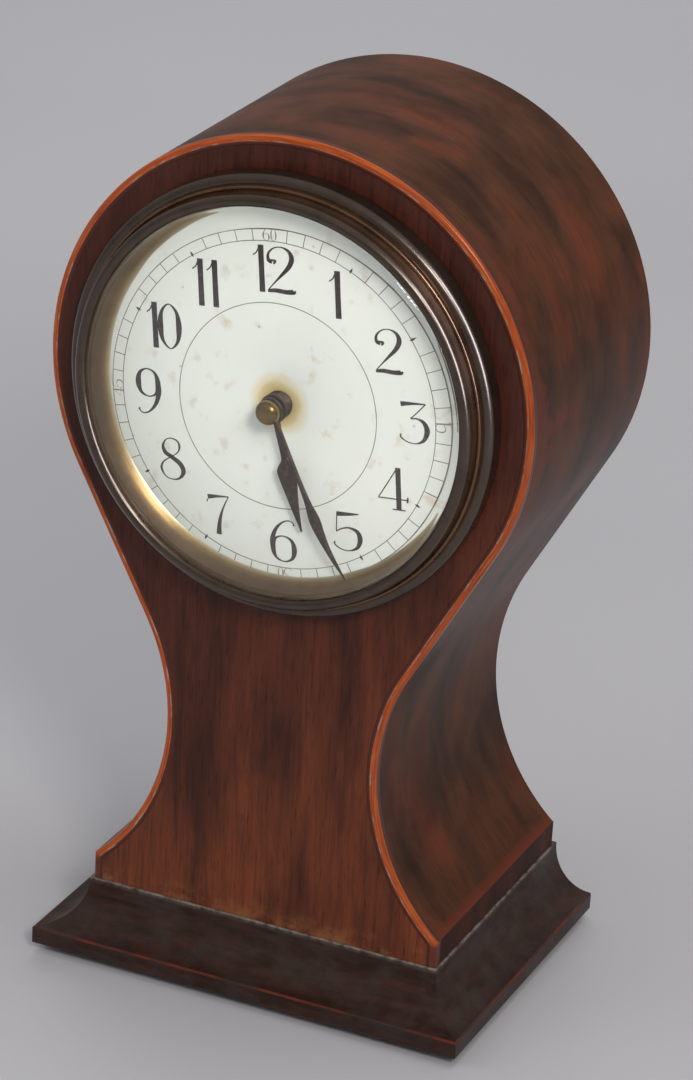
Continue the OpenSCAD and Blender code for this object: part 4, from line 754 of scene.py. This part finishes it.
class TIMEPIECE_OT_case(bpy.types.Operator):
    """Veneers the rim, lays the stringing and finishes the boards of the case"""

    bl_idname = "timepiece.case"
    bl_label = "Case"

    def execute(self, context):
        sizes, colours = context.scene.timepiece_sizes, context.scene.timepiece_colours
        front, back = -FRONT_W, -BACK_W
        string_d, veneer_t, chamfer = 2.5, 0.8, 0.3
        slope_in, slope_down = 0.25, 0.12
        rim = [(veneer_t, front + string_d), (0.0, front + string_d), (0.0, back - chamfer), (chamfer, back),
               (veneer_t, back)]
        surface, uv = rim_sweep(rim, to_base=False)
        piece("figured_rim", [surface], figured_veneer(colours), "case",
              ["rim_veneer"], uv=uv)
        worn = sizes.string_round / MM
        turned = arc((worn, front + worn), worn, math.pi, 1.5 * math.pi, 7)
        line = [(string_d, front + string_d), (0.0, front + string_d), *turned.tolist(),
                (string_d - slope_in, front), (string_d, front + slope_down)]
        surface, uv = rim_sweep(line, to_base=True)
        piece("front_stringing", [surface], stained_stringing(colours), "case",
              ["edge_stringing"], uv=uv)
        finish_nodes(["front_board"], polished_mahogany(colours))
        finish_nodes(["carcass"], plain_wood("mahogany_dark_scraped", "#24120d", "#3a1e15", "#50291b"))
        finish_nodes(["back_board"], plain_wood("mahogany_back_scraped", "#3d2416", "#57351f", "#6f4629"))
        finish_nodes(["bottom_board"], plain_wood("pine_sawn", "#8a6538", "#a97f4b", "#bd9560"))
        return {"FINISHED"}


class TIMEPIECE_OT_plinth(bpy.types.Operator):
    """Runs the three plinth mouldings with mitred corners and turns the button feet"""

    bl_idname = "timepiece.plinth"
    bl_label = "Plinth"

    def execute(self, context):
        sizes, colours = context.scene.timepiece_sizes, context.scene.timepiece_colours
        finish = ebonised_moulding(colours)
        section, marks = self.section(sizes.arris / MM)
        out, up = section[:, 0], PLINTH_LOW + section[:, 1]
        share = np.linspace(-1, 1, 25)[:, None]
        front = np.stack([share * (CORE_X + out), CORE_FRONT - out + 0 * share, up + 0 * share], -1)
        share = np.linspace(0, 1, 17)[:, None]
        y = (CORE_FRONT - out) * (1 - share) + CORE_BACK * share
        right = np.stack([CORE_X + out + 0 * share, y, up + 0 * share], -1)
        for name, rows in [("front", front), ("right", right), ("left", right * (-1, 1, 1))]:
            made = piece(name + "_cavetto", [skin(rows)], finish, "case",
                         ["plinth_" + name + "_moulding"])
            self.mark(made.data, section, marks)
        finish_nodes(["plinth_core"], plain_wood("hardwood_stained_sawn", "#150d0a", "#231712", "#33211a"))
        self.feet(finish)
        return {"FINISHED"}

    def section(self, arris):
        """(out, up) points of the moulding from the core outwards, with how worn and dusty each one is.

        An upright band, a small step, a quarter-ellipse hollow and a narrow top edge.
        """
        deep, band, step, top, low = 14.5, 4.8, 0.6, BASE_Z - PLINTH_LOW, 3.6
        edge = top - 0.5
        bottom = arc((deep - arris, arris), arris, -math.pi / 2, 0, 6)
        shoulder = arc((deep - arris, band - arris), arris, 0, math.pi / 2, 6)
        turn = np.linspace(0, math.pi / 2, 20)[:, None]
        hollow = np.hstack([deep - step - (deep - step - low) * np.sin(turn),
                            edge - (edge - band) * np.cos(turn)])
        lip = np.array([[low, top - 0.15], [low - 0.15, top], [0, top], [0, 0]])
        face = np.array([[deep, arris + 0.3], [deep, band - arris - 0.2]])
        tread = np.array([[deep - step + 0.05, band]])
        parts = [bottom, face, shoulder, tread, hollow, lip]
        wear = np.repeat((0.2, 0.0, 0.7, 0.0, 0.0, 0.2), [len(part) for part in parts])
        dust = np.zeros(len(wear))
        dust[-5:-2] = 0.3, 1.0, 1.0
        return np.vstack(parts), {"wear": wear, "dust": dust}

    def mark(self, mesh, section, marks):
        """Stores the marks of the nearest section point on every vertex, by its height and overhang."""
        place = np.empty(len(mesh.vertices) * 3)
        mesh.vertices.foreach_get("co", place)
        place = place.reshape(-1, 3) / MM
        out = np.maximum(np.abs(place[:, 0]) - CORE_X, CORE_FRONT - place[:, 1])
        seen = np.stack([out, place[:, 2] - PLINTH_LOW], -1)
        nearest = np.argmin(np.linalg.norm(seen[:, None] - section[None], axis=2), axis=1)
        not_sawn = place[:, 1] < CORE_BACK - 0.1
        for name, value in marks.items():
            mesh.attributes.new(name, "FLOAT", "POINT").data.foreach_set("value", value[nearest] * not_sawn)

    def feet(self, finish):
        """Four buttons turned from a rounded profile, one under each corner."""
        low, high = node_box("button_feet")
        r, h = 5.0, PLINTH_LOW
        bulge = smooth_path([(r - 1.2, 0), (r - 0.35, 0.45), (r, h * 0.5), (r - 0.1, h * 0.78), (r - 0.4, h)],
                            16)
        profile = np.vstack([[(0, 0)], bulge, [(0, h)]])
        spots = [(x, y) for x in (low[0] + r, high[0] - r) for y in (low[1] + r, high[1] - r)]
        turned = [lathe(profile, spot, steps=48, loop=False, upright=True) for spot in spots]
        made = piece("turned_feet", turned, finish, "case", ["button_feet"])
        for name in ("wear", "dust"):
            made.data.attributes.new(name, "FLOAT", "POINT")


class TIMEPIECE_OT_bezel(bpy.types.Operator):
    """Turns the beaded bezel and the sight ring, and grinds the bevelled glass"""

    bl_idname = "timepiece.bezel"
    bl_label = "Bezel and glass"

    def execute(self, context):
        colours = context.scene.timepiece_colours
        piece("beaded_bezel", [self.bezel()], patinated_bezel(colours), "case", ["bezel"])
        pane = piece("bevelled_glass", [self.glass()], polished_glass(), "case", ["bezel_glass"],
                     sharp=25)
        pane.visible_shadow = False
        piece("gilt_sight_ring", [self.ring()], gilded_sight_ring(colours), "case", ["sight_ring"])
        return {"FINISHED"}

    def bezel(self):
        """A skirt, a large outer round, a reed, a quirk and an inner bead, with a seat behind it."""
        skirt_r, rim_r, seat_r, edge = 53.6, 56.4, SEAT_R + 0.2, 0.2
        base_w, wall_w, lip_w, bead_w = FRONT_W + 0.1, FRONT_W + 4.2, DIAL_W + 6.3, DIAL_W + 6.5
        round_r, reed_r, bead_r = 1.8, 0.42, 1.5
        skirt = [[skirt_r, base_w], [rim_r - edge, base_w], [rim_r, base_w + edge]]
        outer = arc((rim_r - round_r, wall_w), round_r, 0, math.radians(112), 13)
        reed = arc((53.45, wall_w + 2.45), reed_r, math.radians(-20), math.radians(170), 10)
        quirk = [[52.95, wall_w + 2.75], [52.62, wall_w + 3.4]]
        bead = arc((SIGHT_R + bead_r, bead_w), bead_r, math.radians(-8), math.pi, 21)
        seat = [[SIGHT_R, lip_w], [seat_r, lip_w], [seat_r, wall_w + 1.0], [skirt_r, wall_w - 0.8]]
        return lathe(np.vstack([skirt, outer, reed, quirk, bead, seat]), steps=DIAL_STEPS)

    def glass(self):
        """Two parabolic domes, w falling by the square of the radius, with a thin edge and a soft bevel."""
        flat_r, dome, thick, edge_t = 42.6, 4.8, 2.4, 1.2
        reach = np.linspace(0, SIGHT_R, 40)
        inside = np.stack([reach, GLASS_W + dome * (1 - (reach / SIGHT_R) ** 2)], -1)
        reach = np.linspace(flat_r, 0, 36)
        outside = np.stack([reach, GLASS_W + thick + dome * (1 - (reach / SIGHT_R) ** 2)], -1)
        edge = [[SEAT_R, GLASS_W], [SEAT_R, GLASS_W + edge_t]]
        bevel = smooth_path([(49.5, GLASS_W + edge_t), (48.7, GLASS_W + 1.83), (47.3, GLASS_W + 2.54),
                             (45.5, GLASS_W + 3.12), (43.6, GLASS_W + 3.49)], 24)
        return lathe(np.vstack([inside, edge, bevel, outside]), steps=DIAL_STEPS, loop=False)

    def ring(self):
        """A hollow cone from the dial up to the glass, with a flat flange under the glass."""
        foot_w, flange_w = DIAL_W + 0.3, GLASS_W - 0.6
        face = smooth_path([(SIGHT_R, GLASS_W), (48.9, GLASS_W - 1.4), (47.3, foot_w + 1.3),
                            (RING_R, foot_w)], 24)
        behind = [[46.64, foot_w], [50.2, flange_w], [SEAT_R, flange_w], [SEAT_R, GLASS_W]]
        return lathe(np.vstack([face, behind]), steps=DIAL_STEPS)


class TIMEPIECE_OT_dial(bpy.types.Operator):
    """Fires the enamel dial and paints its circles, minute marks and numerals"""

    bl_idname = "timepiece.dial"
    bl_label = "Dial"

    def execute(self, context):
        sizes, colours = context.scene.timepiece_sizes, context.scene.timepiece_colours
        r, bore, back = 48.0, 3.2, DIAL_W - 1.2
        disc = np.array([[bore, back], [r, back], [r, DIAL_W - 0.35], [r - 0.1, DIAL_W - 0.12],
                         [r - 0.4, DIAL_W], [bore + 0.45, DIAL_W], [bore + 0.15, DIAL_W - 0.1],
                         [bore, DIAL_W - 0.3]])
        piece("enamel_dial", [lathe(disc, (0.0, AXIS_Z), steps=180)], fired_enamel(colours), "case",
              ["dial"])
        ink = dial_paint("enamel_paint_black", (0.9, 4.0, 0.7),
                         [(0.45, shade(colours, "ink")), (0.62, "#3f3834"), (0.74, "#8f8881")])
        fine = dial_paint("enamel_paint_fine_lines", (4, 4.0, 0.6), [(0.35, "#57524a"), (0.7, "#938c7f")])
        small = dial_paint("enamel_paint_small_numerals", (1, 3.0, 0.7),
                           [(0.4, "#6e6558"), (0.7, "#b5ab99")])
        low, high, half = DIAL_W - SUNK, DIAL_W + sizes.paint_t / MM, sizes.line_w / MM / 2
        printed = PRINT_AT + (0.0, AXIS_Z)
        circles = [lathe([(at - half, low), (at - half, high), (at + half, high), (at + half, low)], printed,
                         steps=180) for at in (INNER_R, *TRACK)]
        piece("dial_circles", circles, fine, "case")
        self.minutes(sizes, ink, fine, low, high, half)
        self.numbers(sizes, ink, small)
        return {"FINISHED"}

    def minutes(self, sizes, ink, fine, low, high, half):
        """Fine strokes across the track at the minutes and pointed lozenges at every fifth one."""
        lap = 0.004
        strokes = np.linspace(TRACK[0] + 0.05, TRACK[1] - 0.05, 3), np.full(3, half)
        points = np.linspace(41.0, 42.7, 9), 0.3 * np.sin(np.linspace(0, math.pi, 9)) ** 1.5
        ticks, lozenges = [], []
        for minute in range(60):
            if minute % 15 == 0:
                continue
            reach, width = strokes if minute % 5 else points
            path = np.column_stack([reach[:, None] * dial_way(minute, sizes) + PRINT_AT, width])
            if minute % 5:
                ticks.append(ribbon(path, low, high - lap))
            else:
                lozenges.append(ribbon(path, low, high + lap))
        piece("minute_strokes", ticks, fine, "case")
        piece("five_minute_lozenges", lozenges, ink, "case")

    def numbers(self, sizes, ink, small):
        """Upright hour numerals on one circle, and quarter numerals with their tops outwards."""
        paint, hours, quarters = sizes.paint_t / MM, [], []
        for hour in range(1, 13):
            reach = sizes.numeral_r / MM + SET_OUT.get(hour, 0.0)
            at = reach * dial_way(hour * 5, sizes) + PRINT_AT
            height = sizes.numeral_h / MM * HAND_DRAWN[hour - 1]
            hours += write_number(hour, height, at, sizes.dial_turn, paint)
        for minute in (15, 30, 45, 60):
            turn = math.radians(minute * 6) - sizes.dial_turn
            at = QUARTER_R * dial_way(minute, sizes) + PRINT_AT
            quarters += write_number(minute, sizes.quarter_h / MM, at, -turn, paint)
        piece("hour_numerals", hours, ink, "case")
        piece("quarter_numerals", quarters, small, "case")


class TIMEPIECE_OT_hands(bpy.types.Operator):
    """Files the two hands to their domed leaves and turns the nut"""

    bl_idname = "timepiece.hands"
    bl_label = "Hands"

    # Distances from the centre with the half width there
    hour_leaf = [(3.0, 1.0), (8, 0.88), (11.8, 0.78), (13.4, 1.0), (14.6, 1.95), (15.6, 2.5), (16.8, 2.62),
                 (20, 2.05), (23.4, 1.45), (27, 0.92), (32, 0.14)]
    minute_leaf = [(2.6, 0.85), (9, 0.72), (18, 0.66), (24, 0.88), (27.4, 1.4), (29.6, 1.55), (33, 1.22),
                   (37, 0.82), (41, 0.55), (45.3, 0.12)]
    thick = 0.6

    def execute(self, context):
        colours = context.scene.timepiece_colours
        finish = filed_steel("steel_browned_hands",
                             [(0.32, "#1d1512"), (0.5, shade(colours, "hands")), (0.7, "#634b36")],
                             (0.32, 0.55), (1.6, 5.0, 0.7), (0.15, 0.03), 0.5)
        hour_low, hour_high = node_box("hour_hand")
        hour_w = -hour_low[1] - self.thick
        minute_w = -node_box("minute_hand")[0][1] - self.thick
        collar = self.collar(-hour_high[1], hour_w + 0.1, 2.97, 3.45)
        self.hand("leaf_hour_hand", self.hour_leaf, 165, (hour_w, 16, 1.3), (2.89, 3.55), finish, "hour_work",
                  "hour_hand", [collar])
        self.hand("slender_minute_hand", self.minute_leaf, 153.5, (minute_w, 30, 3.0), (2.03, 3.2), finish,
                  "centre_work", "minute_hand")
        nut_w, nut_r, nut_h, seat_r = -node_box("hand_nut")[1][1], 3.1, 3.6, 2.2
        turn = np.linspace(-0.6, math.pi / 2, 26)
        ball = np.stack([nut_r * np.cos(turn), nut_w + nut_h * (0.4 + 0.6 * np.sin(turn))], -1)
        profile = np.vstack([[(0.0, nut_w), (seat_r, nut_w)], ball])
        piece("domed_nut", [lathe(profile, (0.0, AXIS_Z), steps=64, loop=False)],
              bright_brass("brass_nut_turned", shade(colours, "gilt"), 0.22), "centre_work",
              ["hand_nut"])
        return {"FINISHED"}

    def collar(self, low, high, bore, r):
        """A tube with turned grooves round it: its radius falls and rises as a cosine of w."""
        pitch, depth = 0.34, 0.09
        w = np.linspace(low, high, 60)
        groove = r - depth * (1 - np.cos(2 * math.pi * (w - low) / pitch))
        profile = np.vstack([np.stack([groove, w], -1), [[bore, high], [bore, low]]])
        return lathe(profile, (0.0, AXIS_Z), steps=64)

    def hand(self, name, outline, degrees, level, boss, finish, body, node, more=()):
        """A leaf whose half width follows its length, ridged along the middle, on a pierced boss.

        level gives its height w, the distance along it at which it starts to bend back towards the
        dial, and how far its tip is bent, by the square of the distance.
        """
        turn, thick = math.radians(degrees), self.thick
        path = smooth_path(outline, 90)
        reach, half = path[:, :1], np.maximum(path[:, 1:], 0.08)
        w, bent_from, bend = level
        sink = bend * (np.maximum(reach - bent_from, 0) / (reach[-1] - bent_from)) ** 2
        across = half * np.array([-1.0, -0.55, 0.0, 0.55, 1.0, 0.9, -0.9])
        rise = thick * np.array([0.3, 0.82, 1.0, 0.82, 0.3, 0.0, 0.0])
        x = reach * math.sin(turn) + across * math.cos(turn)
        z = AXIS_Z + reach * math.cos(turn) - across * math.sin(turn)
        leaf = skin(np.stack([x, sink - (w + rise), z], -1))
        bore, r = boss
        rim = [(bore, w), (bore, w + thick), (r - 0.15, w + thick), (r, w + thick - 0.15), (r, w)]
        piece(name, [leaf, lathe(rim, (0.0, AXIS_Z), steps=64), *more], finish, body, [node])


class TIMEPIECE_OT_back(bpy.types.Operator):
    """Turns the rings on the back door and slots the screws that show at the back"""

    bl_idname = "timepiece.back"
    bl_label = "Back"

    def execute(self, context):
        colours = context.scene.timepiece_colours
        brass = bright_brass("brass_door_lacquered", shade(colours, "brass"), 0.3, 0.2, 22.0, turned=True)
        finish_nodes(BACK_NODES, brass)
        steel = filed_steel("steel_screws_filed", [(0.32, "#6a6764"), (0.68, "#9a9692")], (0.26, 0.44))
        finish_nodes(["plinth_screws"], steel)
        self.rings(brass)
        self.screws(bright_brass("brass_screws_turned", shade(colours, "brass"), 0.3, 0.3, 3.0), steel)
        return {"FINISHED"}

    def rings(self, brass):
        """Half-round beads turned about the middle of the door, and a low boss at its centre."""
        door_r, face = -node_box("back_door")[0][0], REAR_W - DOOR_OUT
        beads = []
        for at, half in [(door_r - 1.3, 0.6), (door_r - 12.0, 0.45), (door_r - 13.4, 0.3), (7.0, 0.5)]:
            bead = arc((at, face + 0.05), half, -math.pi, 0, 11)
            beads.append(lathe(bead, steps=160))
        boss = [(0, face + 0.1), (4.6, face + 0.1), (4.4, face - 0.25), (3.0, face - 0.5), (0, face - 0.6)]
        beads.append(lathe(boss, steps=64, loop=False))
        piece("door_turned_rings", beads, brass, "door")

    def screws(self, brass, steel):
        """Five brass screws hold the back board and two steel ones clamp the rear ring."""
        low, high = node_box("back_board_screws")
        r, slot, shank = 2.4, 0.7, 1.1
        ring = high[2] - r - HEAD_Z
        waist = WAIST_X - WAIST_R - (HEAD_R - ring)
        spots = [(ring * math.cos(turn), HEAD_Z + ring * math.sin(turn), 1.7 * turn + 0.4)
                 for turn in np.radians((90, 25, 155))]
        spots += [(side * waist, WAIST_Z, 0.9 - 0.7 * side) for side in (-1, 1)]
        made = slotted_screws(spots, (r, slot), shank, (-low[1], BACK_W, -high[1]))
        piece("slotted_back_screws", made, brass, "case", ["back_board_screws"])
        low, high = node_box("clamp_screws")
        r, slot, shank = high[0], 0.8, 1.4
        spots = [(0.0, low[2] + r, 0.5), (0.0, high[2] - r, 2.2)]
        made = slotted_screws(spots, (r, slot), shank, (-low[1], REAR_W, -high[1]))
        piece("slotted_clamp_screws", made, steel, "case", ["clamp_screws"])


class TIMEPIECE_OT_movement(bpy.types.Operator):
    """Finishes the drum, plates, wheels and steelwork inside the case"""

    bl_idname = "timepiece.movement"
    bl_label = "Movement"

    def execute(self, context):
        colours = context.scene.timepiece_colours
        brass = bright_brass("brass_plates_brushed", shade(colours, "brass"), 0.32, 0.2, 16.0)
        wheels = bright_brass("brass_wheels_cut", linear("#c4a050"), 0.26, 0.2)
        steel = filed_steel("steel_arbors_polished", [(0.32, "#7d7c7b"), (0.68, "#b0aeab")], (0.2, 0.38))
        blue = filed_steel("steel_springs_blued", [(0.32, "#1c2438"), (0.68, "#33405f")], (0.22, 0.4))
        groups = {
            brass: ["drum", "dial_plate", "front_plate", "back_plate", "pillars", "platform", "escape_bridge",
                    "balance_cock", "set_knob"],
            wheels: ["barrel", "barrel_cover", "intermediate_wheel", "centre_wheel", "third_wheel",
                     "fourth_wheel", "escape_wheel", "minute_wheel", "hour_wheel", "balance"],
            steel: ["pillar_screws", "movement_screws", "winding_arbor", "ratchet_wheel", "click",
                    "intermediate_arbor", "centre_arbor", "third_arbor", "platform_screws", "lever",
                    "regulator", "cannon_pinion"],
            blue: ["click_spring", "mainspring", "hairspring"],
        }
        for material, names in groups.items():
            finish_nodes(names, material)
        return {"FINISHED"}


class TIMEPIECE_OT_stage(bpy.types.Operator):
    """Lays the pale floor and sets the lamps, the world and the camera"""

    bl_idname = "timepiece.stage"
    bl_label = "Stage"

    def execute(self, context):
        scene, colours = context.scene, context.scene.timepiece_colours
        scene.view_settings.view_transform = "Standard"
        self.floor(colours)
        self.world(scene)
        for name, place, power, width, tone, shine in [
            ("key_lamp", (0.75, -0.95, 0.95), 9.0, 0.3, "#fffaf4", True),
            ("fill_lamp", (-0.9, -0.8, 0.7), 3.5, 0.9, "#f6f6ff", False),
            ("top_lamp", (0.2, 0.1, 1.3), 4.0, 0.7, "#ffffff", False),
            ("back_lamp", (-0.5, 1.1, 0.8), 4.0, 0.8, "#ffffff", False),
        ]:
            self.lamp(name, place, power, width, tone).visible_glossy = shine
        strip = self.lamp("strip_lamp", (1.05, -0.35, 0.6), 26.0, 0.36, "#dfe8ff")
        strip.data.shape, strip.data.size_y = "RECTANGLE", 1.1
        self.shine_on(strip, [bpy.data.objects["beaded_bezel"]])
        low = self.lamp("door_lamp", (0.3, 1.2, 0.12), 4.0, 0.5, "#fff8ee")
        back = ["door_turned_rings", "slotted_back_screws", "slotted_clamp_screws"]
        self.shine_on(low, [bpy.data.objects[name] for name in back] +
                      [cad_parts[name] for name in BACK_NODES])
        self.camera(scene)
        return {"FINISHED"}

    def floor(self, colours):
        """A flat square grid at table height."""
        span = np.linspace(-3000, 3000, 9)
        x, y = np.meshgrid(span, span)
        points, faces = skin(np.stack([x, y, 0 * x], -1), loop=False)
        mesh = bpy.data.meshes.new("floor")
        mesh.from_pydata((points * MM).tolist(), [], [face[::-1] for face in faces])
        mesh.materials.append(pale_floor(colours))
        made = bpy.data.objects.new("floor", mesh)
        bpy.context.scene.collection.objects.link(made)

    def world(self, scene):
        """A soft dome, brighter overhead than at the horizon."""
        scene.world = bpy.data.worlds.new("soft_dome")
        scene.world.use_nodes = True
        tree = scene.world.node_tree
        height = add(tree, "SeparateXYZ", {"Vector": add(tree, "TexCoord").outputs["Generated"]})
        tone = add(tree, "ValToRGB", {"Fac": height.outputs["Z"]}, greys((0.0, 0.55), (0.5, 0.8), (1.0, 1.0)))
        feed(tree, tree.nodes["Background"], Color=tone, Strength=0.45)

    def lamp(self, name, place, power, width, tone):
        """A square soft lamp that faces the object, and isn't counted again through the glass."""
        lamp = bpy.data.lights.new(name, "AREA")
        lamp.energy, lamp.size, lamp.color = power, width, linear(tone)[:3]
        made = bpy.data.objects.new(name, lamp)
        made.location = place
        made.rotation_mode = "QUATERNION"
        made.rotation_quaternion = (Vector(LIT_AT) - Vector(place)).to_track_quat("-Z", "Y")
        made.visible_transmission = False
        bpy.context.scene.collection.objects.link(made)
        return made

    def shine_on(self, lamp, objects):
        """Keeps a lamp to the shine of some objects: it adds no light to anything else."""
        lamp.visible_diffuse = lamp.visible_camera = False
        lit = bpy.data.collections.new(lamp.name + "_lights")
        for thing in objects:
            lit.objects.link(thing)
        lamp.light_linking.receiver_collection = lit

    def camera(self, scene):
        """Looks down on the right front corner; the frame is 693 by 1080."""
        wide, tall, sensor = 693, 1080, 36
        azimuth, elevation, roll = math.radians(23.56), math.radians(23.59), math.radians(3.14)
        focal, mid_x, mid_y, distance, looks_at = 4250.2, 351.66, 538.44, 1079.4, (2.4, 0.0, 112.7)
        back = np.array([math.sin(azimuth) * math.cos(elevation), -math.cos(azimuth) * math.cos(elevation),
                         math.sin(elevation)])
        right = np.array([math.cos(azimuth), math.sin(azimuth), 0])
        up = np.cross(back, right)
        across = math.cos(roll) * right + math.sin(roll) * up
        upward = -math.sin(roll) * right + math.cos(roll) * up
        place = np.array(looks_at) + distance * back
        lens = bpy.data.cameras.new("camera")
        lens.sensor_fit, lens.sensor_width = "AUTO", sensor
        lens.lens = focal * sensor / tall
        lens.shift_x, lens.shift_y = (wide / 2 - mid_x) / tall, (mid_y - tall / 2) / tall
        lens.clip_start, lens.clip_end = 0.05, 20
        made = bpy.data.objects.new("camera", lens)
        matrix = np.eye(4)
        matrix[:3] = np.column_stack([across, upward, back, place * MM])
        made.matrix_world = Matrix(matrix.tolist())
        bpy.context.scene.collection.objects.link(made)
        scene.camera = made


class TIMEPIECE_PT_panel(bpy.types.Panel):
    """Lists the pieces in the order in which they are made"""

    bl_idname = "TIMEPIECE_PT_panel"
    bl_label = "Timepiece"
    bl_space_type = "VIEW_3D"
    bl_region_type = "UI"
    bl_category = "Timepiece"

    def draw(self, context):
        for step in STEPS:
            self.layout.operator(step.bl_idname)
        for group in (context.scene.timepiece_sizes, context.scene.timepiece_colours):
            for name in group.__annotations__:
                self.layout.prop(group, name)


STEPS = (TIMEPIECE_OT_case, TIMEPIECE_OT_plinth, TIMEPIECE_OT_bezel, TIMEPIECE_OT_dial, TIMEPIECE_OT_hands,
         TIMEPIECE_OT_back, TIMEPIECE_OT_movement, TIMEPIECE_OT_stage)
CLASSES = (TimepieceSizes, TimepieceColours, *STEPS, TIMEPIECE_PT_panel)


def register():
    """Registers the classes and hangs the properties on the scene."""
    for kind in CLASSES:
        bpy.utils.register_class(kind)
    bpy.types.Scene.timepiece_sizes = bpy.props.PointerProperty(type=TimepieceSizes)
    bpy.types.Scene.timepiece_colours = bpy.props.PointerProperty(type=TimepieceColours)


def unregister():
    """Takes the properties and the classes away again."""
    del bpy.types.Scene.timepiece_colours
    del bpy.types.Scene.timepiece_sizes
    for kind in reversed(CLASSES):
        bpy.utils.unregister_class(kind)


def main():
    """Builds every piece in order."""
    register()
    for step in STEPS:
        group, name = step.bl_idname.split(".")
        getattr(getattr(bpy.ops, group), name)()


if __name__ == "__main__":
    main()
